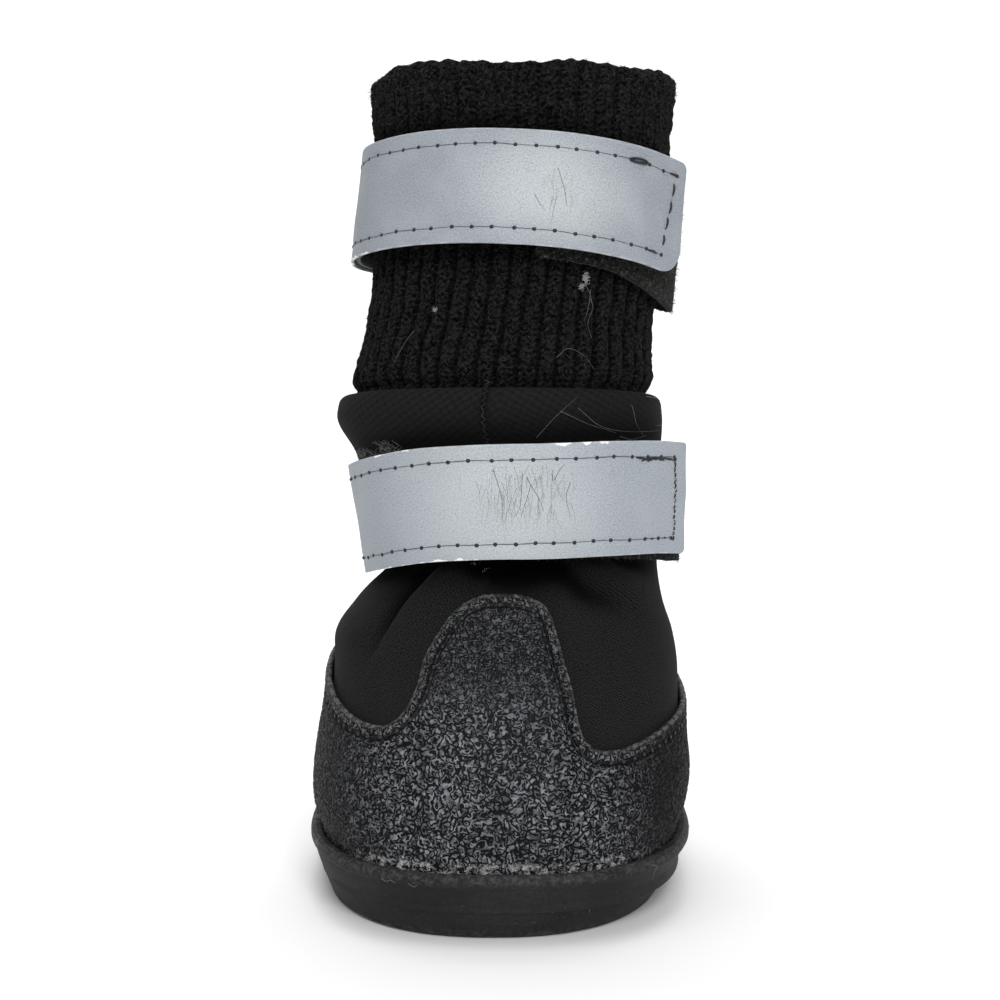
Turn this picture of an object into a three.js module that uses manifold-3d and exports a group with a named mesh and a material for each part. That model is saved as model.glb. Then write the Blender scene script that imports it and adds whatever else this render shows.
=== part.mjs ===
// A dog boot: a moulded rubber cup sole, a soft fabric upper with a rubberised rand and toe cap,
// a rib-knit cuff that is tucked into the collar, and two reflective straps, each of which closes
// over a loop tape sewn to the back seam. Millimetres, +Z up, the toe points to -Y.
// The origin lies on the floor, under the middle of the sole.
import * as THREE from "three";
import { mergeVertices } from "three/addons/utils/BufferGeometryUtils.js";
import Module from "manifold-3d";

const wasm = await Module();
wasm.setup();

// Sole
const soleLength = 82;
const soleWidth = 68.6;
const soleHeight = 12.2;
const footbedHeight = 5.4;
const lipWidth = 1.8;
const grooveDepth = 1.6;
const grooveWidth = 2.8;
const lugPitch = 10.4;
const treadMargin = 9;
const insoleThickness = 3;

// Upper, rand and cuff
const collarHeight = 87;
const upperWall = 2.4;
const randWall = 1;
const randGap = 0.4;
const randSeat = 2.4;
const randStep = 7.5;
const cuffHeight = 144;
const cuffWall = 3;
const cuffTuck = 15;
const ribPitch = 3.3;
const ribDepth = 0.9;

// Straps and loop tapes
const strapWidth = 20;
const strapWall = 1.5;
const tapeWall = 1.3;
const strapSlack = 3;
const ankleStrapCorner = 2;
const cuffStrapCorner = 4.5;
const ankleStrapHeight = 68.2;
const cuffStrapHeight = 121;

// Running values
const seatGap = 0.3;
const footHalfWidth = soleWidth / 2 - lipWidth - randWall - randGap - seatGap;
const footHalfLength = soleLength / 2 - lipWidth - randWall - randGap - seatGap;
const seatHeight = footbedHeight + seatGap;
const radians = (degrees) => (degrees * Math.PI) / 180;

// The upper's outside, one row for each level from the sole to the collar's fold.
// rise is a share of collarHeight, side and shift are shares of the foot's half width, front and back
// are shares of its half length, heel narrows the back half, square is how boxy the level is, and dip
// is the angle in degrees at which the level drops towards the back.
const upperLevels = [
  { rise: 0.06, side: 1.0, front: 1.0, back: 1.0, shift: 0, heel: 0.13, square: 2.5, dip: 0 },
  { rise: 0.145, side: 1.0, front: 1.0, back: 1.0, shift: 0, heel: 0.13, square: 2.5, dip: 0 },
  { rise: 0.195, side: 1.045, front: 1.0, back: 1.005, shift: 0, heel: 0.12, square: 2.5, dip: 0 },
  { rise: 0.255, side: 1.055, front: 0.995, back: 1.005, shift: 0.01, heel: 0.12, square: 2.5, dip: 0 },
  { rise: 0.325, side: 1.035, front: 0.955, back: 0.99, shift: 0.015, heel: 0.11, square: 2.45, dip: 0 },
  { rise: 0.39, side: 1.02, front: 0.885, back: 0.97, shift: 0.03, heel: 0.1, square: 2.4, dip: 0 },
  { rise: 0.46, side: 1.015, front: 0.785, back: 0.945, shift: 0.035, heel: 0.09, square: 2.35, dip: 0 },
  { rise: 0.52, side: 1.0, front: 0.66, back: 0.92, shift: 0.025, heel: 0.08, square: 2.3, dip: 1 },
  { rise: 0.575, side: 0.92, front: 0.54, back: 0.9, shift: 0.055, heel: 0.06, square: 2.25, dip: 2.5 },
  { rise: 0.635, side: 0.84, front: 0.45, back: 0.875, shift: 0.105, heel: 0.04, square: 2.25, dip: 4.5 },
  { rise: 0.7, side: 0.85, front: 0.405, back: 0.86, shift: 0.085, heel: 0.03, square: 2.25, dip: 6 },
  { rise: 0.79, side: 0.868, front: 0.405, back: 0.875, shift: 0.065, heel: 0.02, square: 2.3, dip: 7 },
  { rise: 0.88, side: 0.905, front: 0.43, back: 0.91, shift: 0.05, heel: 0.02, square: 2.35, dip: 8 },
  { rise: 0.95, side: 0.965, front: 0.455, back: 0.93, shift: 0.0, heel: 0.02, square: 2.35, dip: 8.5 },
  { rise: 1.0, side: 0.95, front: 0.43, back: 0.91, shift: 0.0, heel: 0.02, square: 2.35, dip: 9 },
];

// The cuff's outside above the collar. rise is a share of the cuff's standing height over the collar,
// and the other columns are those of the upper.
const cuffLevels = [
  { rise: 0.0, side: 0.83, front: 0.335, back: 0.82, shift: 0.012, heel: 0.0, square: 2.3, dip: 9 },
  { rise: 0.045, side: 0.888, front: 0.36, back: 0.85, shift: 0.013, heel: 0.0, square: 2.3, dip: 9 },
  { rise: 0.12, side: 0.872, front: 0.345, back: 0.845, shift: 0.026, heel: 0.0, square: 2.3, dip: 9 },
  { rise: 0.21, side: 0.85, front: 0.32, back: 0.835, shift: 0.052, heel: 0.0, square: 2.25, dip: 9 },
  { rise: 0.33, side: 0.845, front: 0.295, back: 0.84, shift: 0.085, heel: 0.0, square: 2.25, dip: 9 },
  { rise: 0.5, side: 0.852, front: 0.265, back: 0.86, shift: 0.11, heel: 0.0, square: 2.25, dip: 9 },
  { rise: 0.7, side: 0.868, front: 0.23, back: 0.89, shift: 0.13, heel: 0.0, square: 2.25, dip: 9 },
  { rise: 0.87, side: 0.885, front: 0.2, back: 0.915, shift: 0.134, heel: 0.0, square: 2.3, dip: 9 },
  { rise: 1.0, side: 0.905, front: 0.175, back: 0.925, shift: 0.136, heel: 0.0, square: 2.4, dip: 9 },
];

// The rand's upper edge round the boot. turn is the angle from the toe, positive to +X, and rise is a
// share of collarHeight: a tab over the instep, low beside it, and rising again towards the heel.
const randEdge = [
  { turn: -180, rise: 0.53 },
  { turn: -150, rise: 0.525 },
  { turn: -120, rise: 0.49 },
  { turn: -90, rise: 0.455 },
  { turn: -68, rise: 0.42 },
  { turn: -52, rise: 0.4 },
  { turn: -42, rise: 0.394 },
  { turn: -34, rise: 0.4 },
  { turn: -28, rise: 0.43 },
  { turn: -24, rise: 0.475 },
  { turn: -21, rise: 0.535 },
  { turn: -18, rise: 0.585 },
  { turn: -12, rise: 0.61 },
  { turn: -4, rise: 0.616 },
  { turn: 4, rise: 0.61 },
  { turn: 10, rise: 0.592 },
  { turn: 13.5, rise: 0.555 },
  { turn: 16, rise: 0.49 },
  { turn: 18, rise: 0.41 },
  { turn: 22, rise: 0.369 },
  { turn: 30, rise: 0.357 },
  { turn: 42, rise: 0.364 },
  { turn: 62, rise: 0.382 },
  { turn: 90, rise: 0.4 },
  { turn: 120, rise: 0.44 },
  { turn: 150, rise: 0.5 },
  { turn: 180, rise: 0.53 },
];

// The sole's side from the floor to the top of its lip, and down its inside. rise is a share of
// soleHeight, inset and shift are shares of lipWidth, in from the outline and to +X, and square is how
// boxy it is.
const soleSteps = [
  { rise: 0.0, inset: 3.0, shift: -0.6, square: 2.3 },
  { rise: 0.05, inset: 2.45, shift: -0.6, square: 2.3 },
  { rise: 0.16, inset: 2.0, shift: -0.5, square: 2.32 },
  { rise: 0.45, inset: 1.2, shift: -0.3, square: 2.4 },
  { rise: 0.74, inset: 0.48, shift: -0.1, square: 2.48 },
  { rise: 0.78, inset: 0.06, shift: 0, square: 2.5 },
  { rise: 0.86, inset: 0.0, shift: 0, square: 2.5 },
  { rise: 0.95, inset: 0.08, shift: 0, square: 2.5 },
  { rise: 1.0, inset: 0.4, shift: 0, square: 2.5 },
  { rise: 0.985, inset: 1.0, shift: 0, square: 2.5 },
];

// Each band runs round the shaft. turn is the angle from the toe. top and bottom are the slack under its
// two edges, as shares of strapSlack, and lift moves it up, as a share of strapWidth. over is 1 where a
// strap lies on its loop tape, and 0 where it lies on the shaft.
const ankleStrapRun = [
  { turn: -188, over: 1, top: 0.12, bottom: 0.12, lift: -0.06 },
  { turn: -168, over: 1, top: 0.12, bottom: 0.12, lift: -0.08 },
  { turn: -150, over: 0.2, top: 0.2, bottom: 0.2, lift: -0.1 },
  { turn: -120, over: 0, top: 0.15, bottom: 0.15, lift: -0.16 },
  { turn: -90, over: 0, top: 0.1, bottom: 0.1, lift: -0.18 },
  { turn: -60, over: 0, top: 0.15, bottom: 0.2, lift: -0.12 },
  { turn: -30, over: 0.3, top: 0.1, bottom: 0.2, lift: -0.04 },
  { turn: -8, over: 0.85, top: 0.1, bottom: 0.16, lift: -0.01 },
  { turn: 8, over: 1, top: 0.12, bottom: 0.2, lift: 0.0 },
  { turn: 30, over: 1, top: 0.15, bottom: 0.28, lift: 0.02 },
  { turn: 52, over: 1, top: 0.27, bottom: 0.42, lift: 0.03 },
  { turn: 68, over: 1, top: 0.8, bottom: 0.95, lift: 0.02 },
];
const ankleTapeRun = [
  { turn: 192, top: 0.1, bottom: 0.1, lift: -0.06 },
  { turn: 160, top: 0.12, bottom: 0.12, lift: -0.05 },
  { turn: 125, top: 0.5, bottom: 0.5, lift: -0.04 },
  { turn: 95, top: 0.8, bottom: 0.9, lift: -0.05 },
  { turn: 75, top: 0.62, bottom: 0.75, lift: -0.05 },
  { turn: 52, top: 0.2, bottom: 0.35, lift: -0.02 },
  { turn: 30, top: 0.1, bottom: 0.2, lift: 0.0 },
  { turn: 5, top: 0.1, bottom: 0.14, lift: 0.0 },
];
const cuffStrapRun = [
  { turn: -188, over: 1, top: 0.12, bottom: 0.12, lift: 0.0 },
  { turn: -168, over: 1, top: 0.12, bottom: 0.14, lift: 0.0 },
  { turn: -150, over: 0.2, top: 0.2, bottom: 0.3, lift: 0.02 },
  { turn: -120, over: 0, top: 0.15, bottom: 0.6, lift: 0.02 },
  { turn: -90, over: 0, top: 0.12, bottom: 0.8, lift: 0.01 },
  { turn: -60, over: 0, top: 0.2, bottom: 0.95, lift: 0.01 },
  { turn: -30, over: 0.3, top: 0.2, bottom: 0.95, lift: 0.02 },
  { turn: -8, over: 0.85, top: 0.12, bottom: 0.8, lift: 0.01 },
  { turn: 8, over: 1, top: 0.12, bottom: 0.75, lift: -0.02 },
  { turn: 30, over: 1, top: 0.2, bottom: 0.62, lift: -0.08 },
  { turn: 48, over: 1, top: 0.32, bottom: 0.55, lift: -0.14 },
  { turn: 63, over: 1, top: 0.65, bottom: 0.75, lift: -0.2 },
];
const cuffTapeRun = [
  { turn: 192, top: 0.1, bottom: 0.1, lift: 0.0 },
  { turn: 160, top: 0.12, bottom: 0.12, lift: -0.08 },
  { turn: 125, top: 0.4, bottom: 0.4, lift: -0.26 },
  { turn: 95, top: 0.55, bottom: 0.6, lift: -0.4 },
  { turn: 75, top: 0.5, bottom: 0.5, lift: -0.42 },
  { turn: 55, top: 0.25, bottom: 0.3, lift: -0.32 },
  { turn: 38, top: 0.12, bottom: 0.2, lift: -0.2 },
  { turn: 22, top: 0.1, bottom: 0.2, lift: -0.13 },
  { turn: 5, top: 0.1, bottom: 0.14, lift: -0.08 },
];

// The row of a table at a given place in its first column, along a smooth curve through its rows.
function rowAt(table, key, place) {
  const last = table.length - 1;
  const descending = table[last][key] < table[0][key];
  const before = (a, b) => (descending ? a > b : a < b);
  let i = 0;
  while (i < last - 1 && before(table[i + 1][key], place)) i += 1;
  const [from, to] = [table[i], table[i + 1]];
  const span = to[key] - from[key];
  const t = Math.min(1, Math.max(0, (place - from[key]) / span));
  const [earlier, later] = [table[Math.max(0, i - 1)], table[Math.min(last, i + 2)]];
  const row = {};
  for (const column of Object.keys(from)) {
    const slopeFrom = ((to[column] - earlier[column]) / (to[key] - earlier[key])) * span;
    const slopeTo = ((later[column] - from[column]) / (later[key] - from[key])) * span;
    const t2 = t * t;
    const t3 = t2 * t;
    row[column] =
      (2 * t3 - 3 * t2 + 1) * from[column] +
      (t3 - 2 * t2 + t) * slopeFrom +
      (3 * t2 - 2 * t3) * to[column] +
      (t3 - t2) * slopeTo;
  }
  row[key] = place;
  return row;
}

// A point on a rounded box-like oval, at an angle from its front, pushed out by a distance.
function ovalPoint(oval, degrees, out) {
  const angle = radians(degrees);
  const power = (v) => Math.sign(v) * Math.abs(v) ** (2 / oval.square);
  const along = -power(Math.cos(angle));
  const narrowing = 1 - oval.heel * Math.max(0, along) ** 2;
  return {
    x: oval.x + (oval.halfWidth * narrowing + out) * power(Math.sin(angle)),
    y: oval.y + (oval.halfLength + out) * along,
  };
}

// A level's oval in millimetres, from its row of shares.
function levelOval(row) {
  return {
    x: row.shift * footHalfWidth,
    y: ((row.back - row.front) / 2) * footHalfLength,
    halfWidth: row.side * footHalfWidth,
    halfLength: ((row.back + row.front) / 2) * footHalfLength,
    heel: row.heel,
    square: row.square,
  };
}

// A point on a soft wall: on the row's level, which dips towards the back about the oval's centre.
function wallPoint(row, height, degrees, out) {
  const oval = levelOval(row);
  const p = ovalPoint(oval, degrees, out);
  return [p.x, p.y, height - Math.tan(radians(row.dip)) * (p.y - oval.y)];
}

const upperPoint = (height, degrees, out) =>
  wallPoint(rowAt(upperLevels, "rise", height / collarHeight), height, degrees, out);

const cuffStanding = cuffHeight - collarHeight;
const cuffPoint = (height, degrees, out) =>
  wallPoint(rowAt(cuffLevels, "rise", (height - collarHeight) / cuffStanding), height, degrees, out);

// The sole's outline, inset by a distance. Its heel follows the upper's.
const { heel: soleHeel, square: soleSquare } = upperLevels[0];
function solePoint(height, degrees, inset, square = soleSquare, x = 0) {
  const halfWidth = soleWidth / 2 - inset;
  const halfLength = soleLength / 2 - inset;
  const p = ovalPoint({ x, y: 0, halfWidth, halfLength, heel: soleHeel, square }, degrees, 0);
  return [p.x, p.y, height];
}

// Angles round the boot, evenly spaced.
const turns = (count) => Array.from({ length: count }, (_, i) => -180 + (360 * i) / count);

// Evenly spaced heights, both ends included.
const steps = (from, to, count) =>
  Array.from({ length: count + 1 }, (_, i) => from + ((to - from) * i) / count);

// A closed mesh from rings of points with the same count. loop joins the last ring to the first, as in
// a tube's wall, and otherwise each end is closed by a fan round its centre.
function skin(rings, loop) {
  const count = rings[0].length;
  const points = rings.flat();
  const faces = [];
  const quad = (a, b, c, d) => faces.push(a, b, c, a, c, d);
  const bands = loop ? rings.length : rings.length - 1;
  for (let r = 0; r < bands; r += 1) {
    const [low, high] = [r * count, ((r + 1) % rings.length) * count];
    for (let i = 0; i < count; i += 1) {
      const j = (i + 1) % count;
      quad(low + i, low + j, high + j, high + i);
    }
  }
  if (!loop) {
    for (const [first, flip] of [
      [0, true],
      [(rings.length - 1) * count, false],
    ]) {
      const ring = points.slice(first, first + count);
      const centre = [0, 1, 2].map((k) => ring.reduce((sum, p) => sum + p[k], 0) / count);
      points.push(centre);
      for (let i = 0; i < count; i += 1) {
        const [a, b] = [first + i, first + ((i + 1) % count)];
        faces.push(points.length - 1, flip ? b : a, flip ? a : b);
      }
    }
  }
  const geometry = new THREE.BufferGeometry();
  geometry.setAttribute("position", new THREE.Float32BufferAttribute(points.flat(), 3));
  geometry.setIndex(faces);
  return geometry;
}

// three.js geometry to a manifold-3d solid and back, for the cuts.
function solidOf(geometry) {
  const bare = geometry.clone();
  bare.deleteAttribute("normal");
  bare.deleteAttribute("uv");
  const merged = mergeVertices(bare, 1e-4);
  return new wasm.Manifold(
    new wasm.Mesh({
      numProp: 3,
      vertProperties: merged.attributes.position.array,
      triVerts: new Uint32Array(merged.index.array),
    }),
  );
}
function geometryOf(solid) {
  const { vertProperties, triVerts } = solid.getMesh();
  const geometry = new THREE.BufferGeometry();
  geometry.setAttribute("position", new THREE.Float32BufferAttribute(vertProperties, 3));
  geometry.setIndex(Array.from(triVerts));
  return geometry;
}

// Outsole: a cup with a rounded lip, sides that draw in to the floor, and lugs cut by grooves.
const soleTurns = turns(52);
function outsoleShape() {
  const rings = soleSteps.map(({ rise, inset, shift, square }) =>
    soleTurns.map((turn) =>
      solePoint(rise * soleHeight, turn, inset * lipWidth, square, shift * lipWidth),
    ),
  );
  rings.push(soleTurns.map((turn) => solePoint(footbedHeight, turn, lipWidth)));
  let sole = solidOf(skin(rings, false));

  const treadLength = soleLength - 2 * treadMargin;
  const treadWidth = soleWidth - 2 * treadMargin;
  const groove = (width, length, y) => {
    const box = new THREE.BoxGeometry(width, length, 2 * grooveDepth);
    box.translate(0, y, 0);
    return solidOf(box);
  };
  const field = skin(
    [-grooveDepth, grooveDepth].map((z) => soleTurns.map((turn) => solePoint(z, turn, treadMargin))),
    false,
  );
  const rows = Math.floor(treadLength / lugPitch / 2);
  let grooves = groove(grooveWidth, treadLength, 0);
  for (let row = -rows; row <= rows; row += 1) {
    grooves = grooves.add(groove(treadWidth, grooveWidth, row * lugPitch));
  }
  sole = sole.subtract(grooves.intersect(solidOf(field)));
  return geometryOf(sole);
}

// Insole: a foam board on the footbed, inside the upper's wall.
function insoleShape() {
  const inset = soleWidth / 2 - footHalfWidth + upperWall + seatGap;
  const heights = [seatHeight, seatHeight + insoleThickness];
  return skin(
    heights.map((z) => turns(48).map((turn) => solePoint(z, turn, inset))),
    false,
  );
}

// Upper: one wall from the footbed to the collar, where the fabric is folded in on itself.
const levelHeights = upperLevels.slice(1, -1).map(({ rise }) => rise * collarHeight);
function upperShape() {
  const around = turns(42);
  const foldRadius = upperWall / 2;
  const foldFoot = collarHeight - foldRadius;
  const heights = [seatHeight, ...levelHeights, foldFoot];
  const ring = (height, out) => around.map((turn) => upperPoint(height, turn, out));
  const fold = [60, 120].map((turned) =>
    ring(
      foldFoot + foldRadius * Math.sin(radians(turned)),
      foldRadius * (Math.cos(radians(turned)) - 1),
    ),
  );
  return skin(
    [
      ...heights.map((height) => ring(height, 0)),
      ...fold,
      ...heights.toReversed().map((height) => ring(height, -upperWall)),
    ],
    true,
  );
}

// Rand: the rubberised overlay all round the foot, with the toe cap's tab over the instep.
function randShape() {
  const around = randEdge.slice(0, -1).flatMap(({ turn }, i) => {
    const next = randEdge[i + 1].turn;
    return steps(turn, next, Math.ceil((next - turn) / randStep)).slice(0, -1);
  });
  const plain = levelHeights.slice(0, 3);
  const columns = around.map((turn) => {
    const edge = rowAt(randEdge, "turn", turn).rise * collarHeight;
    return { turn, heights: [seatHeight + randSeat, ...plain, ...steps(plain[2], edge, 5).slice(1)] };
  });
  const levels = columns[0].heights.map((_, level) => level);
  const ring = (level, out) => columns.map(({ turn, heights }) => upperPoint(heights[level], turn, out));
  return skin(
    [
      ...levels.map((level) => ring(level, randGap + randWall)),
      ...levels.toReversed().map((level) => ring(level, randGap)),
    ],
    true,
  );
}

// Angles that space the ribs evenly round the cuff's middle, three to a rib.
function ribTurns() {
  const middle = collarHeight + cuffStanding / 2;
  const fine = turns(720).map((turn) => cuffPoint(middle, turn, 0));
  const lengths = fine.map((p, i) => {
    const q = fine[(i + 1) % fine.length];
    return Math.hypot(q[0] - p[0], q[1] - p[1]);
  });
  const girth = lengths.reduce((sum, length) => sum + length, 0);
  const ribs = Math.round(girth / ribPitch);
  const wanted = Array.from({ length: ribs * 3 }, (_, i) => (girth * i) / (ribs * 3));
  const found = [];
  let walked = 0;
  for (let i = 0; i < fine.length && found.length < wanted.length; i += 1) {
    while (found.length < wanted.length && wanted[found.length] <= walked + lengths[i]) {
      const share = (wanted[found.length] - walked) / lengths[i];
      found.push(-180 + (360 * (i + share)) / fine.length);
    }
    walked += lengths[i];
  }
  return found;
}

// Cuff: a double layer of rib knit, folded at the top, its raw end tucked inside the collar.
function cuffShape() {
  const around = ribTurns();
  const tuckFoot = collarHeight - cuffTuck;
  const tucked = [tuckFoot, ...levelHeights.filter((height) => height > tuckFoot), collarHeight - seatGap];
  const standing = cuffLevels.slice(1, -1).map(({ rise }) => collarHeight + rise * cuffStanding);
  const foldRadius = cuffWall / 2;
  const foldFoot = cuffHeight - foldRadius;
  const rib = (i) => (i % 3 === 2 ? -ribDepth : 0);
  const point = (height, turn, out) =>
    height < collarHeight
      ? upperPoint(height, turn, out - upperWall - seatGap)
      : cuffPoint(height, turn, out);
  const ring = (height, out, ribShare) =>
    around.map((turn, i) => point(height, turn, out + ribShare * rib(i)));
  const fold = [60, 120].map((turned) =>
    ring(
      foldFoot + foldRadius * Math.sin(radians(turned)),
      foldRadius * (Math.cos(radians(turned)) - 1),
      1 - turned / 180,
    ),
  );
  const inside = [tuckFoot, collarHeight, collarHeight + cuffStanding / 2];
  return skin(
    [
      ...[...tucked, ...standing, foldFoot].map((height) => ring(height, 0, 1)),
      ...fold,
      ...inside.toReversed().map((height) => ring(height, -cuffWall, 0)),
    ],
    true,
  );
}

// A flat band round the shaft, with rounded corners at its free end.
function bandShape({ run, height, wall, corner = 0, pointAt }) {
  const first = run[0].turn;
  const last = run[run.length - 1].turn;
  const way = Math.sign(last - first);
  const [endX, endY] = pointAt(height, last, 0);
  const [nearX, nearY] = pointAt(height, last - way, 0);
  const cornerTurn = (way * corner) / Math.hypot(endX - nearX, endY - nearY);
  const count = Math.ceil(Math.abs(last - first) / 8);
  const straight = steps(first, last - cornerTurn, count).map((turn) => ({ turn, cut: 0 }));
  const rounded = [30, 60, 90].map((turned) => ({
    turn: last - cornerTurn * (1 - Math.sin(radians(turned))),
    cut: corner * (1 - Math.cos(radians(turned))),
  }));
  const stations = corner > 0 ? [...straight, ...rounded] : straight;
  const rings = stations.map(({ turn, cut }) => {
    const row = rowAt(run, "turn", turn);
    const under = seatGap + (row.over ?? 0) * (tapeWall + seatGap);
    const middle = height + row.lift * strapWidth;
    const low = (half, out) => pointAt(middle - half, turn, under + row.bottom * strapSlack + out);
    const high = (half, out) => pointAt(middle + half, turn, under + row.top * strapSlack + out);
    const [a, b] = [low(strapWidth / 2, 0), high(strapWidth / 2, 0)];
    const half = ((strapWidth / 2 - cut) * strapWidth) / Math.hypot(b[0] - a[0], b[1] - a[1], b[2] - a[2]);
    return [low(half, 0), low(half, wall), high(half, wall), high(half, 0)];
  });
  return skin(way > 0 ? rings.toReversed() : rings, false);
}

// One sub-part of the boot, with its finish.
const boot = new THREE.Group();
function addPiece(name, geometry, colour, roughness) {
  const finish = new THREE.MeshStandardMaterial({ color: colour, roughness, metalness: 0 });
  const mesh = new THREE.Mesh(geometry, finish);
  mesh.name = name;
  boot.add(mesh);
}

addPiece("outsole", outsoleShape(), 0x1c1c1d, 0.7);
addPiece("insole", insoleShape(), 0x2a2a2b, 0.9);
addPiece("upper", upperShape(), 0x17181a, 0.9);
addPiece("rand_toe_cap", randShape(), 0x2b2c30, 0.55);
addPiece("knit_cuff", cuffShape(), 0x121213, 0.95);

const bands = {
  ankle_loop_tape: { run: ankleTapeRun, height: ankleStrapHeight, wall: tapeWall, pointAt: upperPoint },
  ankle_strap: {
    run: ankleStrapRun,
    height: ankleStrapHeight,
    wall: strapWall,
    corner: ankleStrapCorner,
    pointAt: upperPoint,
  },
  cuff_loop_tape: { run: cuffTapeRun, height: cuffStrapHeight, wall: tapeWall, pointAt: cuffPoint },
  cuff_strap: {
    run: cuffStrapRun,
    height: cuffStrapHeight,
    wall: strapWall,
    corner: cuffStrapCorner,
    pointAt: cuffPoint,
  },
};
for (const [name, band] of Object.entries(bands)) {
  const reflective = name.endsWith("strap");
  addPiece(name, bandShape(band), reflective ? 0xa9b0b8 : 0x101011, reflective ? 0.35 : 0.95);
}

export default boot;
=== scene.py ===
# %% [markdown]
# # A dog boot
# The boot is a soft shoe for a dog's paw: a rubber cup sole, a fabric upper with a rubber-coated rand,
# a rib-knit cuff that is tucked into the collar, and two reflective straps that close on loop tape.
# The solids of the CAD model give every place and size. Each solid that shows is replaced here by a
# finer piece that follows the same form, and gets the folds, stitches, pile, hairs and wear of a boot
# that has been worn. Lengths are written in millimetres and turned into metres when a mesh is made.

# %% Load the frame
import random
from contextlib import contextmanager

import bpy
import numpy as np
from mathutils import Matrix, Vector, noise


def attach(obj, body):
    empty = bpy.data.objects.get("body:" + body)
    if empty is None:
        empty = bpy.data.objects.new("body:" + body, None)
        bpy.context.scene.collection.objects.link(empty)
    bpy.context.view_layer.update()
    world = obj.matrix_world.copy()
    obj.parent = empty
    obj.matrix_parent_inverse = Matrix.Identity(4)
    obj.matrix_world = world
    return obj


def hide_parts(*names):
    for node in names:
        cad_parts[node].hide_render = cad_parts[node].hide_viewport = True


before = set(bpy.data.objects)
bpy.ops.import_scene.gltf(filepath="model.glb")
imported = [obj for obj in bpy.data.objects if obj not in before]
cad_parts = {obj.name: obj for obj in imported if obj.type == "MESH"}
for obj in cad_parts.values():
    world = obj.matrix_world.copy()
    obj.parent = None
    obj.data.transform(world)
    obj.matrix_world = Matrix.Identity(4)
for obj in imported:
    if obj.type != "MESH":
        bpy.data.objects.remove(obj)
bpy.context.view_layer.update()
MM = 0.001

# %% [markdown]
# ## The camera
# The photograph looks at the front of the boot from a little above. Its distance was worked out from
# how the ovals of the cuff and the sole open. The lens is a little longer than in the photograph,
# because one boot fills the frame here, and that changes no angle.

# %% Camera
view_distance = 363
view_elevation = 7.5
look_at_height = 69.3
photo_focal = 1.607
closer = 1.25
sensor_width = 36
tilt = np.radians(view_elevation)
bpy.ops.object.camera_add(
    location=(0, -view_distance * np.cos(tilt) * MM, (look_at_height + view_distance * np.sin(tilt)) * MM),
    rotation=(np.pi / 2 - tilt, 0, 0),
)
camera = bpy.context.object
camera.data.sensor_width = sensor_width
camera.data.lens = sensor_width * photo_focal * closer
camera.data.clip_start = 0.01
bpy.context.scene.camera = camera
print("lens:", round(camera.data.lens, 1), "mm")

# %% [markdown]
# ## Helpers for shaping
# A maker pulls cloth over a last. Here the last is a function, and a flat grid is laid over it, row by
# row, as cloth is. These helpers select one piece, open it for editing, and apply a modifier.

# %% Selecting and editing
def only(piece):
    bpy.ops.object.select_all(action="DESELECT")
    piece.select_set(True)
    bpy.context.view_layer.objects.active = piece


@contextmanager
def editing(piece):
    only(piece)
    bpy.ops.object.mode_set(mode="EDIT")
    bpy.ops.mesh.select_all(action="SELECT")
    yield
    bpy.ops.object.mode_set(mode="OBJECT")


def apply_modifier(piece, kind, **settings):
    only(piece)
    modifier = piece.modifiers.new(kind, kind)
    for key, value in settings.items():
        setattr(modifier, key, value)
    bpy.ops.object.modifier_apply(modifier=modifier.name)


def places(piece):
    """The piece's vertices in millimetres."""
    flat = np.empty(len(piece.data.vertices) * 3, np.float32)
    piece.data.vertices.foreach_get("co", flat)
    return flat.reshape(-1, 3).astype(float) / MM


def move_to(piece, points):
    piece.data.vertices.foreach_set("co", (np.asarray(points) * MM).astype(np.float32).ravel())
    piece.data.update()


# %% Laying a grid over rows of points
def wrapped(name, points, u, v, **marks):
    """A grid primitive laid over rows and columns of points in millimetres. Where its edges meet they
    are merged, its UV map holds real lengths in millimetres, and marks become attributes."""
    rows, columns = points.shape[:2]
    bpy.ops.object.select_all(action="DESELECT")
    bpy.ops.mesh.primitive_grid_add(x_subdivisions=columns - 1, y_subdivisions=rows - 1, size=1)
    piece = bpy.context.object
    piece.name = piece.data.name = name
    flat = places(piece) * MM + 0.5
    column = np.rint(flat[:, 0] * (columns - 1)).astype(int)
    row = np.rint(flat[:, 1] * (rows - 1)).astype(int)
    move_to(piece, points[row, column])
    corner = np.empty(len(piece.data.loops), int)
    piece.data.loops.foreach_get("vertex_index", corner)
    uv = np.stack([u[row, column][corner], v[row, column][corner]], 1)
    piece.data.uv_layers[0].data.foreach_set("uv", uv.astype(np.float32).ravel())
    for key, value in marks.items():
        kind, field = ("FLOAT_VECTOR", "vector") if value.ndim == 3 else ("FLOAT", "value")
        mark = piece.data.attributes.new(key, kind, "POINT")
        mark.data.foreach_set(field, value[row, column].astype(np.float32).ravel())
    with editing(piece):
        bpy.ops.mesh.remove_doubles(threshold=1e-6)
    return piece


def lengths_along(points, axis, zero=0):
    """Real lengths along the rows (axis 1) or up the columns (axis 0), counted from one of them."""
    step = np.linalg.norm(np.diff(points, axis=axis), axis=2)
    start = np.zeros_like(step.take([0], axis=axis))
    length = np.concatenate([start, np.cumsum(step, axis=axis)], axis=axis)
    return length - length.take([zero], axis=axis)


def dress(piece, materials, node=None, smooth=40):
    """Gives a finished piece its materials and its body, and hides the CAD node that it stands for."""
    for material in materials:
        piece.data.materials.append(material)
    only(piece)
    bpy.ops.object.shade_smooth_by_angle(angle=np.radians(smooth))
    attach(piece, "root")
    if node:
        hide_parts(node)
    piece.data.calc_loop_triangles()
    print(f"{piece.name}: {len(piece.data.loop_triangles)} triangles")


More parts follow.
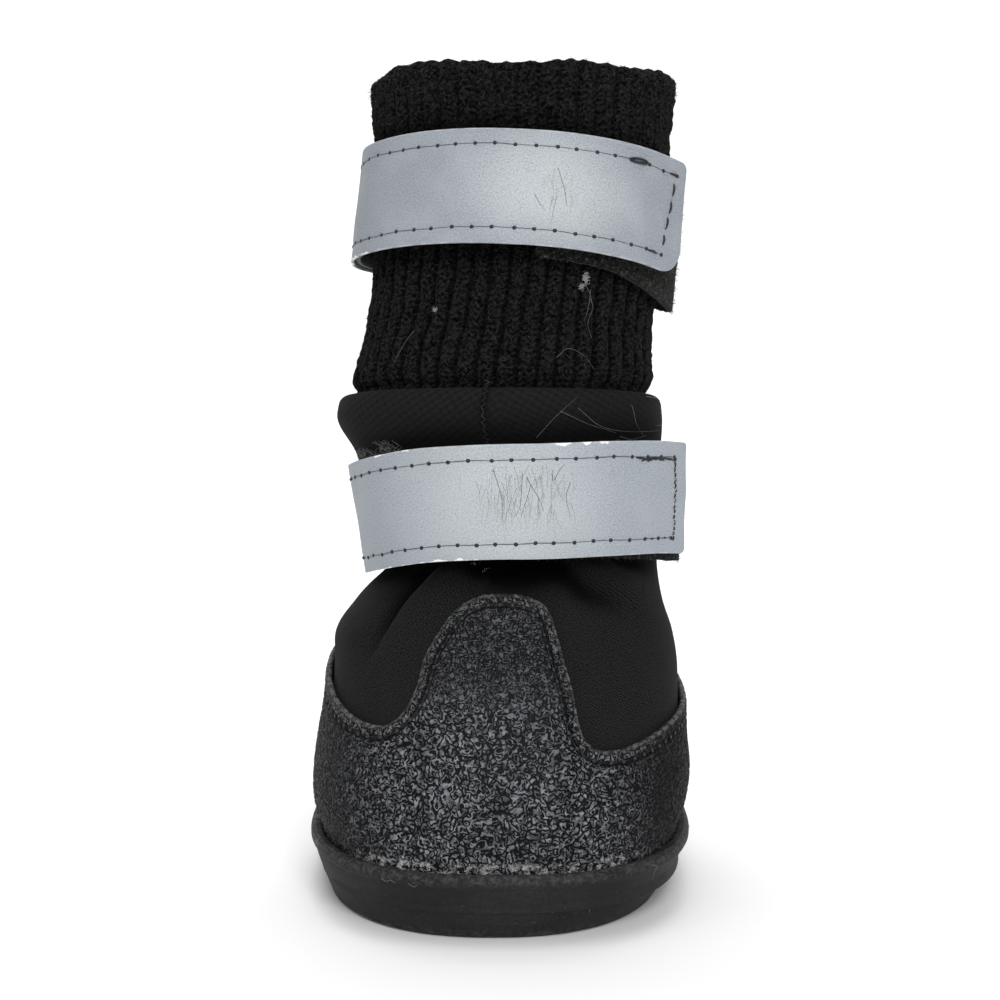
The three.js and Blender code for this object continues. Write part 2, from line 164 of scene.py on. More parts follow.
# %% [markdown]
# ## Sizes and sections
# These are the sizes and the section tables of the CAD model, so every fine surface here lies where
# the solid's does. A smooth curve runs through the rows of a table, and each row gives an oval: how
# wide it is, how far it reaches to the front and the back, and how it leans.

# %% Sizes of the sole, upper and straps
sole_length, sole_width, sole_height = 82, 68.6, 12.2
footbed_height, lip_width = 5.4, 1.8
groove_depth, groove_width, lug_pitch, tread_margin = 1.6, 2.8, 10.4, 9
insole_thickness = 3
collar_height, upper_wall = 87, 2.4
rand_wall, rand_gap, rand_seat = 1, 0.4, 2.4
cuff_height, cuff_wall, cuff_tuck = 144, 3, 15
rib_pitch, rib_depth = 3.3, 0.9
strap_width, strap_wall, tape_wall, strap_slack = 20, 1.5, 1.3, 3
ankle_strap_height, cuff_strap_height = 68.2, 121
seat_gap = 0.3
foot_half_width = sole_width / 2 - lip_width - rand_wall - rand_gap - seat_gap
foot_half_length = sole_length / 2 - lip_width - rand_wall - rand_gap - seat_gap
seat_height = footbed_height + seat_gap
cuff_standing = cuff_height - collar_height


# %% Tables of sections
def table(columns, *rows):
    return dict(zip(columns.split(), np.array(rows, float).T))


upper_levels = table(
    "rise side front back shift heel square dip",
    (0.06, 1.0, 1.0, 1.0, 0, 0.13, 2.5, 0),
    (0.145, 1.0, 1.0, 1.0, 0, 0.13, 2.5, 0),
    (0.195, 1.045, 1.0, 1.005, 0, 0.12, 2.5, 0),
    (0.255, 1.055, 0.995, 1.005, 0.01, 0.12, 2.5, 0),
    (0.325, 1.035, 0.955, 0.99, 0.015, 0.11, 2.45, 0),
    (0.39, 1.02, 0.885, 0.97, 0.03, 0.1, 2.4, 0),
    (0.46, 1.015, 0.785, 0.945, 0.035, 0.09, 2.35, 0),
    (0.52, 1.0, 0.66, 0.92, 0.025, 0.08, 2.3, 1),
    (0.575, 0.92, 0.54, 0.9, 0.055, 0.06, 2.25, 2.5),
    (0.635, 0.84, 0.45, 0.875, 0.105, 0.04, 2.25, 4.5),
    (0.7, 0.85, 0.405, 0.86, 0.085, 0.03, 2.25, 6),
    (0.79, 0.868, 0.405, 0.875, 0.065, 0.02, 2.3, 7),
    (0.88, 0.905, 0.43, 0.91, 0.05, 0.02, 2.35, 8),
    (0.95, 0.965, 0.455, 0.93, 0.0, 0.02, 2.35, 8.5),
    (1.0, 0.95, 0.43, 0.91, 0.0, 0.02, 2.35, 9),
)
cuff_levels = table(
    "rise side front back shift heel square dip",
    (0.0, 0.83, 0.335, 0.82, 0.012, 0, 2.3, 9),
    (0.045, 0.888, 0.36, 0.85, 0.013, 0, 2.3, 9),
    (0.12, 0.872, 0.345, 0.845, 0.026, 0, 2.3, 9),
    (0.21, 0.85, 0.32, 0.835, 0.052, 0, 2.25, 9),
    (0.33, 0.845, 0.295, 0.84, 0.085, 0, 2.25, 9),
    (0.5, 0.852, 0.265, 0.86, 0.11, 0, 2.25, 9),
    (0.7, 0.868, 0.23, 0.89, 0.13, 0, 2.25, 9),
    (0.87, 0.885, 0.2, 0.915, 0.134, 0, 2.3, 9),
    (1.0, 0.905, 0.175, 0.925, 0.136, 0, 2.4, 9),
)
rand_edge = table(
    "turn rise",
    (-180, 0.53), (-150, 0.525), (-120, 0.49), (-90, 0.455), (-68, 0.42), (-52, 0.4), (-42, 0.394),
    (-34, 0.4), (-28, 0.43), (-24, 0.475), (-21, 0.535), (-18, 0.585), (-12, 0.61), (-4, 0.616),
    (4, 0.61), (10, 0.592), (13.5, 0.555), (16, 0.49), (18, 0.41), (22, 0.369), (30, 0.357),
    (42, 0.364), (62, 0.382), (90, 0.4), (120, 0.44), (150, 0.5), (180, 0.53),
)
up_wall = np.linspace(0, 1, 12)
sole_steps = table(
    "rise inset shift square",
    (0.0, 3.0, -0.6, 2.3),
    *[(0.05 + 0.75 * t, 0.3 + 2.15 * (1 - t) ** 1.15, 0.6 * (t - 1), 2.3 + 0.18 * t) for t in up_wall],
    (0.835, 0.1, 0, 2.5),
    (0.865, 0.0, 0, 2.5),
    (0.92, 0.0, 0, 2.5),
    (0.965, 0.12, 0, 2.5),
    (1.0, 0.45, 0, 2.5),
    (0.985, 1.0, 0, 2.5),
)

# %% [markdown]
# The straps and their loop tapes run round the shaft. Their tables say where each one lies on the
# other, how far its two edges stand off the shaft, and how it climbs.

# %% Runs of the straps and tapes
strap_columns = "turn over top bottom lift"
ankle_strap_run = table(
    strap_columns,
    (-188, 1, 0.12, 0.12, -0.06),
    (-168, 1, 0.12, 0.12, -0.08),
    (-150, 0.2, 0.2, 0.2, -0.1),
    (-120, 0, 0.15, 0.15, -0.16),
    (-90, 0, 0.1, 0.1, -0.18),
    (-60, 0, 0.15, 0.2, -0.12),
    (-30, 0.3, 0.1, 0.2, -0.04),
    (-8, 0.85, 0.1, 0.16, -0.01),
    (8, 1, 0.12, 0.2, 0.0),
    (30, 1, 0.15, 0.28, 0.02),
    (52, 1, 0.27, 0.42, 0.03),
    (68, 1, 0.8, 0.95, 0.02),
)
ankle_tape_run = table(
    strap_columns,
    (192, 0, 0.1, 0.1, -0.06),
    (160, 0, 0.12, 0.12, -0.05),
    (125, 0, 0.5, 0.5, -0.04),
    (95, 0, 0.8, 0.9, -0.05),
    (75, 0, 0.62, 0.75, -0.05),
    (52, 0, 0.2, 0.35, -0.02),
    (30, 0, 0.1, 0.2, 0.0),
    (5, 0, 0.1, 0.14, 0.0),
)
cuff_strap_run = table(
    strap_columns,
    (-188, 1, 0.12, 0.12, 0.0),
    (-168, 1, 0.12, 0.14, 0.0),
    (-150, 0.2, 0.2, 0.3, 0.02),
    (-120, 0, 0.15, 0.6, 0.02),
    (-90, 0, 0.12, 0.8, 0.01),
    (-60, 0, 0.2, 0.95, 0.01),
    (-30, 0.3, 0.2, 0.95, 0.02),
    (-8, 0.85, 0.12, 0.8, 0.01),
    (8, 1, 0.12, 0.75, -0.02),
    (30, 1, 0.2, 0.62, -0.08),
    (48, 1, 0.32, 0.55, -0.14),
    (63, 1, 0.65, 0.75, -0.2),
)
cuff_tape_run = table(
    strap_columns,
    (192, 0, 0.1, 0.1, 0.0),
    (160, 0, 0.12, 0.12, -0.08),
    (125, 0, 0.4, 0.4, -0.26),
    (95, 0, 0.55, 0.6, -0.4),
    (75, 0, 0.5, 0.5, -0.42),
    (55, 0, 0.25, 0.3, -0.32),
    (38, 0, 0.12, 0.2, -0.2),
    (22, 0, 0.1, 0.2, -0.13),
    (5, 0, 0.1, 0.14, -0.08),
)


# %% The last as a function
def row_at(rows, key, place):
    """The table's row at each place, along a smooth curve through its rows."""
    keys = rows[key]
    way = 1 if keys[-1] > keys[0] else -1
    place = np.asarray(place, float)
    low = np.clip(np.searchsorted(way * keys, way * place) - 1, 0, len(keys) - 2)
    high, before, after = low + 1, np.maximum(low - 1, 0), np.minimum(low + 2, len(keys) - 1)
    span = keys[high] - keys[low]
    t = np.clip((place - keys[low]) / span, 0, 1)
    found = {}
    for name, v in rows.items():
        leaves = (v[high] - v[before]) / (keys[high] - keys[before]) * span
        arrives = (v[after] - v[low]) / (keys[after] - keys[low]) * span
        start, end = (2 * t**3 - 3 * t**2 + 1) * v[low], (3 * t**2 - 2 * t**3) * v[high]
        found[name] = start + (t**3 - 2 * t**2 + t) * leaves + end + (t**3 - t**2) * arrives
    return found


def oval_point(x, y, half_width, half_length, heel, square, turn, out):
    """A point on a rounded, box-like oval, at an angle from its front, pushed out by a distance."""
    angle = np.radians(turn)
    power = lambda value: np.sign(value) * np.abs(value) ** (2 / square)
    along = -power(np.cos(angle))
    narrowing = 1 - heel * np.maximum(0, along) ** 2
    return x + (half_width * narrowing + out) * power(np.sin(angle)), y + (half_length + out) * along


def wall_point(levels, rise, height, turn, out):
    """A point on a soft wall, whose levels dip towards the back."""
    height, turn, out = np.broadcast_arrays(height, turn, out)
    row = row_at(levels, "rise", rise)
    middle = (row["back"] - row["front"]) / 2 * foot_half_length
    half_length = (row["back"] + row["front"]) / 2 * foot_half_length
    half_width, shift = row["side"] * foot_half_width, row["shift"] * foot_half_width
    x, y = oval_point(shift, middle, half_width, half_length, row["heel"], row["square"], turn, out)
    return np.stack([x, y, height - np.tan(np.radians(row["dip"])) * (y - middle)], -1)


def upper_point(height, turn, out=0):
    return wall_point(upper_levels, np.asarray(height) / collar_height, height, turn, out)


def cuff_point(height, turn, out=0):
    return wall_point(cuff_levels, (np.asarray(height) - collar_height) / cuff_standing, height, turn, out)


def sole_point(height, turn, inset, square=2.5, shift=0):
    half_width, half_length = sole_width / 2 - inset, sole_length / 2 - inset
    x, y = oval_point(shift, 0, half_width, half_length, upper_levels["heel"][0], square, turn, 0)
    return np.stack([x, y, np.broadcast_to(height, np.shape(x))], -1)


def even_turns(ring, count):
    """Angles that space points evenly round a ring, from the back round to the back again."""
    fine = np.linspace(-180, 180, 2881)
    length = lengths_along(ring(fine)[None], 1)[0]
    turns = np.interp(np.linspace(0, length[-1], count + 1), length, fine)
    return turns, length[-1]


turns, girth = even_turns(lambda turn: cuff_point(collar_height + cuff_standing / 2, turn), 8)
print(f"the cuff is {girth:.0f} mm round")

# %% [markdown]
# ## Helpers for finishes
# A finish is a small network of nodes. `put` adds one node and returns its output, so a network reads
# like a formula. The same helpers work in a shader and in geometry nodes, which lets a grain be raised
# on the mesh and coloured on it from one and the same formula.

# %% Nodes
def put(tree, kind, inputs, output=0, **settings):
    """Adds a node, sets it up, fills or links its inputs, and returns one of its outputs."""
    added = tree.nodes.new(kind)
    for key, value in settings.items():
        setattr(added, key, value)
    for key, value in inputs.items():
        if isinstance(value, bpy.types.NodeSocket):
            tree.links.new(value, added.inputs[key])
        else:
            added.inputs[key].default_value = value
    return added.outputs[output]


def calc(tree, operation, a, b=0.0, c=0.0):
    return put(tree, "ShaderNodeMath", {0: a, 1: b, 2: c}, operation=operation)


def plus(tree, a, b):
    return calc(tree, "ADD", a, b)


def times(tree, a, b):
    return calc(tree, "MULTIPLY", a, b)


def fade(tree, value, low, high):
    """0 below low and 1 above high, with a smooth step between. It falls where low is the higher."""
    if low > high:
        return calc(tree, "SUBTRACT", 1.0, fade(tree, value, high, low))
    inputs = {"Value": value, "From Min": low, "From Max": high}
    return put(tree, "ShaderNodeMapRange", inputs, interpolation_type="SMOOTHSTEP")


def flip(tree, value):
    """1 less the value."""
    return calc(tree, "SUBTRACT", 1.0, value)


def painted(tree, name, output=2):
    """A value that the mesh carries at each point: output 2 is a number, and output 1 a place."""
    return put(tree, "ShaderNodeAttribute", {}, output, attribute_name=name)


def shaken(tree, place, source, per_mm, detail, mm):
    """A place pushed about by noise, so that a pattern on it isn't regular."""
    push = put(tree, "ShaderNodeTexNoise", {"Vector": source, "Scale": per_mm, "Detail": detail}, 1)
    push = put(tree, "ShaderNodeVectorMath", {0: push, "Scale": mm}, operation="SCALE")
    return put(tree, "ShaderNodeVectorMath", {0: place, 1: push}, operation="ADD")


def mottle(tree, place, per_mm, detail=2.0, rough=0.5):
    """Soft noise round 0.5, with so many lumps to the millimetre."""
    inputs = {"Vector": place, "Scale": per_mm, "Detail": detail, "Roughness": rough}
    return put(tree, "ShaderNodeTexNoise", inputs, noise_dimensions="3D")


def cells(tree, place, per_mm, feature="F1", output=0):
    inputs = {"Vector": place, "Scale": per_mm}
    return put(tree, "ShaderNodeTexVoronoi", inputs, output, feature=feature)


def blend(tree, share, a, b):
    """Colour a where share is 0, colour b where it is 1."""
    colour = lambda c: c if isinstance(c, bpy.types.NodeSocket) else (*c, 1)
    return put(tree, "ShaderNodeMix", {0: share, 6: colour(a), 7: colour(b)}, 2, data_type="RGBA")


def stretched(tree, place, x, y, z=1.0, turn=0.0):
    """The place, turned and then stretched along its axes."""
    inputs = {"Vector": place, "Rotation": (0, 0, np.radians(turn)), "Scale": (x, y, z)}
    return put(tree, "ShaderNodeMapping", inputs)


def parts(tree, place):
    split = put(tree, "ShaderNodeSeparateXYZ", {0: place}).node
    return split.outputs[0], split.outputs[1], split.outputs[2]


def bump(tree, height, depth_mm):
    return put(tree, "ShaderNodeBump", {"Height": height, "Distance": depth_mm * MM, "Strength": 1.0})


# %% Starting a material
def material(name, roughness, sheen=0.0, metallic=0.0, specular=0.5):
    """A material, its tree, its shader, its UV place and its object place, both in millimetres."""
    made = bpy.data.materials.new(name)
    made.use_nodes = True
    tree = made.node_tree
    shader = tree.nodes["Principled BSDF"]
    shader.inputs["Roughness"].default_value = roughness
    shader.inputs["Metallic"].default_value = metallic
    shader.inputs["Sheen Weight"].default_value = sheen
    shader.inputs["Sheen Roughness"].default_value = 0.5
    shader.inputs["Specular IOR Level"].default_value = specular
    flat = put(tree, "ShaderNodeUVMap", {})
    solid = put(tree, "ShaderNodeTexCoord", {}, "Object")
    solid = put(tree, "ShaderNodeVectorMath", {0: solid, "Scale": 1 / MM}, operation="SCALE")
    return made, tree, shader, flat, solid


def wire(tree, shader, **sockets):
    for name, value in sockets.items():
        tree.links.new(value, shader.inputs[name.replace("_", " ")])


# %% [markdown]
# ## The outsole
# The real sole is one moulding of matt charcoal rubber: a cup with a rounded lip, a wall that draws in
# to the floor, and lugs underneath. It could be lofted or lathed. Here a disc is extruded straight up,
# ring by ring, and each ring is then laid on the sole's own outline, because the outline isn't round.
# The tread is cut with bars, as a mould's ribs leave it, and one bevel softens every edge.

# %% A stack of rings, extruded from a disc
def stack(name, ring_count, around):
    """A straight cylinder with so many rings. Its vertices say which ring and which angle they are."""
    bpy.ops.object.select_all(action="DESELECT")
    bpy.ops.mesh.primitive_circle_add(vertices=around, radius=1, fill_type="NGON")
    piece = bpy.context.object
    piece.name = piece.data.name = name
    with editing(piece):
        for ring in range(ring_count - 1):
            bpy.ops.mesh.extrude_region_move(TRANSFORM_OT_translate={"value": (0, 0, 1)})
        bpy.ops.mesh.select_all(action="SELECT")
        bpy.ops.mesh.normals_make_consistent(inside=False)
    flat = places(piece) * MM
    return piece, np.rint(flat[:, 2]).astype(int), np.degrees(np.arctan2(flat[:, 0], -flat[:, 1]))


around_sole = 180
sole, ring, turn = stack("rubber_outsole", len(sole_steps["rise"]) + 1, around_sole)
wall_ring = np.minimum(ring, len(sole_steps["rise"]) - 1)
height = np.where(ring == wall_ring, sole_steps["rise"][wall_ring] * sole_height, footbed_height)
inset = np.where(ring == wall_ring, sole_steps["inset"][wall_ring], 1) * lip_width
square, shift = sole_steps["square"][wall_ring], sole_steps["shift"][wall_ring] * lip_width
move_to(sole, sole_point(height, turn, inset, square, shift))

# %% Cut the tread and soften the edges
field, ring, turn = stack("tread_field", 2, around_sole)
field_top = np.where(ring == 0, -groove_depth, groove_depth)
move_to(field, sole_point(field_top, turn, tread_margin))


def cut_groove(width, length, y):
    bpy.ops.object.select_all(action="DESELECT")
    bpy.ops.mesh.primitive_cube_add(size=1, location=(0, y * MM, 0))
    bar = bpy.context.object
    bpy.ops.transform.resize(value=(width * MM, length * MM, 4 * groove_depth * MM))
    bpy.ops.object.transform_apply(location=True, scale=True)
    apply_modifier(bar, "BOOLEAN", operation="INTERSECT", object=field, solver="EXACT")
    apply_modifier(sole, "BOOLEAN", operation="DIFFERENCE", object=bar, solver="EXACT")
    bpy.data.objects.remove(bar)


tread_length, tread_width = sole_length - 2 * tread_margin, sole_width - 2 * tread_margin
rows_of_lugs = int(tread_length / lug_pitch / 2)
cut_groove(groove_width, tread_length, 0)
for row in range(-rows_of_lugs, rows_of_lugs + 1):
    cut_groove(tread_width, groove_width, row * lug_pitch)
bpy.data.objects.remove(field)
apply_modifier(sole, "BEVEL", width=0.35 * MM, segments=3, limit_method="ANGLE", angle_limit=np.radians(28))
print("grooves cut:", 2 * rows_of_lugs + 2)

# %% [markdown]
# Rubber of this kind is nearly even in colour. What shows on the real one is a lighter, dusty lip, a
# fine matt grain, and rubbed, greyer edges near the floor. Height over the floor drives the dust.

# %% Sole rubber
rubber, tree, shader, flat, solid = material("matt_sole_rubber", roughness=0.65, specular=0.15)
x, y, z = parts(tree, solid)
grain = mottle(tree, solid, 3.5, 4, 0.65)
cloud = mottle(tree, solid, 0.09, 3)
lip_dust = times(tree, fade(tree, z, 9.8, 11.6), fade(tree, mottle(tree, solid, 1.1, 4, 0.65), 0.38, 0.68))
floor_rub = times(tree, fade(tree, z, 2.2, 0.4), fade(tree, mottle(tree, solid, 0.8, 3), 0.4, 0.6))
dust = plus(tree, times(tree, lip_dust, 0.6), times(tree, floor_rub, 0.35))
specks = fade(tree, cells(tree, solid, 0.55), 0.07, 0.03)
colour = blend(tree, fade(tree, cloud, 0.3, 0.75), (0.0135, 0.0135, 0.0137), (0.022, 0.022, 0.022))
colour = blend(tree, dust, colour, (0.088, 0.09, 0.088))
# A pale patch on the left of the lip: scuffs, and a painted highlight where its glossy edge catches the
# light.
left_lip_scuff_and_highlight = times(tree, fade(tree, x, -30.5, -33.0), fade(tree, z, 8.5, 11.0))
scuff = times(tree, left_lip_scuff_and_highlight, fade(tree, mottle(tree, solid, 0.5, 4, 0.7), 0.5, 0.62))
colour = blend(tree, times(tree, scuff, 0.6), colour, (0.26, 0.26, 0.25))
soot = fade(tree, mottle(tree, solid, 1.5, 5, 0.75), 0.56, 0.44)
colour = blend(tree, times(tree, soot, 0.4), colour, (0.006, 0.006, 0.006))
colour = blend(tree, times(tree, specks, 0.3), colour, (0.16, 0.155, 0.14))
wire(tree, shader, Base_Color=colour, Normal=bump(tree, grain, 0.05))
dress(sole, [rubber], "outsole", smooth=50)

# %% [markdown]
# ## The insole
# A foam board faced with cloth lies on the footbed. It is seen only down the shaft, so it is a disc
# extruded to a board and bevelled, dished a little where the paw presses it.

# %% Insole
around_insole, insole_rings = 96, 2
insole, ring, turn = stack("foam_insole", insole_rings, around_insole)
insole_inset = sole_width / 2 - foot_half_width + upper_wall + seat_gap
move_to(insole, sole_point(seat_height + ring * insole_thickness, turn, insole_inset))
top_faces = [face.index for face in insole.data.polygons if face.normal.z > 0.9]
with editing(insole):
    bpy.ops.mesh.select_all(action="DESELECT")
    bpy.ops.object.mode_set(mode="OBJECT")
    for index in top_faces:
        insole.data.polygons[index].select = True
    bpy.ops.object.mode_set(mode="EDIT")
    for step in range(6):
        bpy.ops.mesh.inset(thickness=4 * MM, depth=-0.06 * MM)
apply_modifier(insole, "BEVEL", width=0.7 * MM, segments=3, limit_method="ANGLE", angle_limit=np.radians(50))
cloth, tree, shader, flat, solid = material("insole_cloth", roughness=0.9, sheen=0.2)
weave = mottle(tree, solid, 2.5, 3)
colour = blend(tree, fade(tree, weave, 0.35, 0.7), (0.02, 0.02, 0.021), (0.045, 0.045, 0.046))
wire(tree, shader, Base_Color=colour, Normal=bump(tree, weave, 0.15))
dress(insole, [cloth], "insole")

# %% [markdown]
# ## The upper
# The real upper is stretch fabric bonded to a soft lining. It is cut flat, sewn at the front of the
# collar and at the back, and turned in at the top, where it is folded down on itself. Cloth simulation
# could wrinkle it, but its folds have to lie where the photograph shows them. So a grid is laid over the
# last in one closed wall: up the outside, over the collar's fold, down the lining. The folds are then
# laid on it one by one, each as a soft trough or ridge along a short path.

# %% Folds laid one by one
def smooth_path(points, count):
    """Points along a smooth curve through the given ones, in as many columns as they have."""
    knots = np.array(points, float)
    at = np.arange(len(knots), dtype=float)
    rows = {"at": at, **{str(i): knots[:, i] for i in range(knots.shape[1])}}
    found = row_at(rows, "at", np.linspace(0, at[-1], count))
    return np.stack([found[str(i)] for i in range(knots.shape[1])], 1)


def fold_lift(points, path, lift, left, right=None):
    """How far a fold lifts each point: most on its path, and fading to its left, its right and its ends.
    The ends of a path that start under a strap are drawn a little way up behind it."""
    turn, height = smooth_path(path, 40).T
    along = upper_point(height, turn)
    ahead = np.gradient(along, axis=0)
    across = np.cross(upper_point(height, turn, 1) - along, ahead)
    flat = points.reshape(-1, 3)
    best, share, reach = np.full(len(flat), 1e9), np.zeros(len(flat)), np.full(len(flat), float(left))
    for i, place in enumerate(along):
        distance = np.linalg.norm(flat - place, axis=1)
        nearer = distance < best
        best[nearer], share[nearer] = distance[nearer], i / (len(along) - 1)
        if right:
            reach[nearer] = np.where((flat[nearer] - place) @ across[i] > 0, left, right)
    ends = np.sin(np.pi * np.clip(share, 0.03, 0.97)) ** 0.6
    return (lift * ends * np.exp(-((best / reach) ** 2))).reshape(points.shape[:2])


# Each fold is a path of turn and height, its lift in millimetres (a trough is less than 0), and how far
# it reaches to both sides, or to its left and its right.
upper_folds = [
    ([(-104, 58.0), (-78, 58.6), (-56, 58.2), (-36, 59.5)], -7.0, 2.9),
    ([(-17, 65), (-25, 60.6), (-34, 57.2), (-41.5, 53.6), (-43.5, 50), (-45, 45)], -5.4, 0.7, 3.4),
    ([(-16, 62), (-24, 57.8), (-31, 54.4), (-35, 50.8), (-37, 46)], 1.7, 3.2),
    ([(-86, 42.5), (-66, 43.6), (-48, 45.2), (-38, 45.8)], -0.35, 1.3),
    ([(-80, 47.5), (-64, 46.8), (-52, 47.4)], 0.4, 2.4),
    ([(-26, 60.6), (-9, 57.6), (4, 57.4), (18, 60.2)], -6.6, 3.5),
    ([(-12.5, 62), (-11.5, 57), (-12, 54)], 1.2, 1.0),
    ([(4, 62), (16, 57.0), (27, 53.4), (46, 51.2)], -3.0, 1.5, 2.8),
    ([(16, 62), (26, 58.2), (37, 55.6), (56, 53.6)], 1.3, 2.0),
    ([(30, 61), (46, 58.2), (66, 57.2)], -2.6, 1.6),
    ([(26, 50.5), (34, 48.0), (44, 46.5)], 0.5, 3.0),
    ([(92, 46.0), (99, 41.5), (84, 37.5)], -0.8, 1.2),
    ([(96, 52), (112, 54.5), (134, 55.5)], -0.9, 2.2),
    ([(104, 48), (124, 50.5), (146, 52)], 0.7, 2.6),
    ([(-100, 53.5), (-118, 55.5), (-140, 56)], -1.0, 2.2),
    ([(-104, 49.5), (-126, 51.5), (-150, 52.5)], 0.7, 2.6),
    ([(160, 56), (175, 54.8), (190, 56)], -0.8, 2.0),
    ([(-62, 79), (-40, 77.6), (-16, 78.2)], -0.5, 1.5),
    ([(14, 78.6), (36, 78.0), (60, 79.6)], -0.6, 1.6),
    ([(-2.6, 89.5), (-3.9, 82.5), (-5.2, 76.0)], -0.95, 0.85),
    ([(-9.5, 88), (-10.5, 82), (-10.5, 76)], 0.3, 2.4),
    ([(3.0, 88), (2.5, 82), (2.0, 76)], 0.25, 2.2),
    ([(180, 90), (180, 70), (180, 40)], -0.6, 0.7),
]


# %% The upper's wall
def wall_profile(foot, top, wall, out_step, in_step):
    """Heights and offsets up the outside of a wall, over its folded top, and down its inside."""
    radius = wall / 2
    outside = [(z, 0) for z in np.linspace(foot, top - radius, round((top - radius - foot) / out_step))]
    arc = [
        (top - radius + radius * np.sin(a), radius * (np.cos(a) - 1))
        for a in np.linspace(0, np.pi, 9)[1:-1]
    ]
    inside = [(z, -wall) for z in np.linspace(top - radius, foot, round((top - radius - foot) / in_step))]
    return np.array(outside + arc + inside + outside[:1])


upper_columns, upper_row_step, lining_row_step = 340, 0.62, 3.0
upper_turns, girth = even_turns(lambda turn: upper_point(0.45 * collar_height, turn), upper_columns)
profile = wall_profile(seat_height, collar_height, upper_wall, upper_row_step, lining_row_step)
points = upper_point(profile[:, :1], upper_turns[None], profile[:, 1:])
outer_face = upper_point(profile[:, :1], upper_turns[None])
lift = sum(fold_lift(outer_face, *fold) for fold in upper_folds)
front = upper_columns // 2
u, v = lengths_along(points, 1, front), lengths_along(points, 0)
outward = upper_point(profile[:, :1], upper_turns[None], profile[:, 1:] + 1) - points
points = points + outward * lift[..., None]
# sunk holds how deep each fold sinks; the finish paints shade from it.
upper = wrapped("softshell_upper", points, u, v, sunk=np.clip(-lift, 0, 9))
print(f"the upper is {girth:.0f} mm round at the ball, with {len(upper_folds)} folds")

# %% [markdown]
# Softshell has a fine face: rows of small dots about half a millimetre apart, which lean to the left on
# one half of the boot and to the right on the other, and it is a little greyer where the light grazes
# it. The UV map is in millimetres and follows the cloth, so the rows run round the boot and not through
# it. Big soft clouds of wear keep the black from looking flat. The lining inside is a brushed knit.

# %% Softshell and lining
def softshell_finish(name, dark, light, pitch=0.42, depth=0.07):
    cloth, tree, shader, flat, solid = material(name, roughness=0.9, sheen=0.015, specular=0.05)
    u, v, w = parts(tree, flat)
    mirrored = put(tree, "ShaderNodeCombineXYZ", {0: calc(tree, "ABSOLUTE", u), 1: v})
    loose = shaken(tree, mirrored, flat, 0.9, 2.0, 0.6)
    u, v, w = parts(tree, stretched(tree, loose, 1, 1, turn=-58))
    rows = calc(tree, "SINE", times(tree, u, 2 * np.pi / pitch))
    dots = calc(tree, "SINE", times(tree, v, 2 * np.pi / (pitch * 1.25)))
    weave = plus(tree, times(tree, rows, 0.085), times(tree, dots, 0.05))
    weave = plus(tree, weave, times(tree, mottle(tree, flat, 3.2, 3, 0.7), 1.0))
    cloud = mottle(tree, solid, 0.07, 3)
    colour = blend(tree, fade(tree, weave, 0.25, 0.75), dark, light)
    colour = blend(tree, times(tree, fade(tree, cloud, 0.45, 0.8), 0.35), colour, (0.016, 0.016, 0.0158))
    fluff = fade(tree, mottle(tree, stretched(tree, solid, 1, 1, 0.4), 2.2, 4, 0.7), 0.66, 0.8)
    colour = blend(tree, times(tree, fluff, 0.2), colour, (0.06, 0.06, 0.056))
    # Painted shade: the cloth next to the strap's edges is made nearly black.
    strap_shade = painted(tree, "strap_shade")
    colour = blend(tree, times(tree, strap_shade, 0.8), colour, (0.0006, 0.0006, 0.0006))
    x, y, z = parts(tree, solid)
    # The top of the collar, above about 80 mm, is made darker.
    darker_collar_top = times(tree, fade(tree, z, 78.0, 82.0), 0.5)
    colour = blend(tree, darker_collar_top, colour, (0.0012, 0.0012, 0.0012))
    # Painted shade: the deeper a fold sinks, the blacker the cloth is made.
    sunk = painted(tree, "sunk")
    colour = blend(tree, times(tree, fade(tree, sunk, 0.2, 3.2), 0.92), colour, (0.0005, 0.0005, 0.0005))
    wire(tree, shader, Base_Color=colour, Normal=bump(tree, weave, depth))
    return cloth


softshell = softshell_finish(
    "softshell_weave", (0.0006, 0.0006, 0.0008), (0.0215, 0.0217, 0.022), depth=0.09)
lining = softshell_finish("brushed_lining", (0.012, 0.012, 0.013), (0.03, 0.03, 0.031), 1.1, 0.12)
upper.data.materials.append(softshell)
upper.data.materials.append(lining)
for face in upper.data.polygons:
    inner = upper.data.uv_layers[0].data[face.loop_start].uv.y > v[len(profile) * 2 // 3, front]
    face.material_index = int(inner)
dress(upper, [], "upper", smooth=60)

# %% [markdown]
# ## The rand and toe cap
# A rubber-coated overlay runs all round the foot, with a tab over the instep. Its coating has a raised
# grain of drops, rings and worms, worn grey on top, between narrow black lines. A paler band runs along
# its edge, with a row of stitches in a trough inside it. A bump map could fake the grain, but it catches
# the light at the outline too, so it is raised on the mesh. The grid's columns are spaced along the
# edge, which keeps the tab's flanks smooth.

# %% Rand
rand_columns, rand_rows, rand_back_rows = 680, 112, 6
rand_foot, rim_radius = seat_height + rand_seat, rand_wall / 2


def rand_top(turn):
    return row_at(rand_edge, "turn", turn)["rise"] * collar_height


def rand_rim(turn, out=rand_gap + rand_wall):
    return upper_point(rand_top(turn), turn, out)


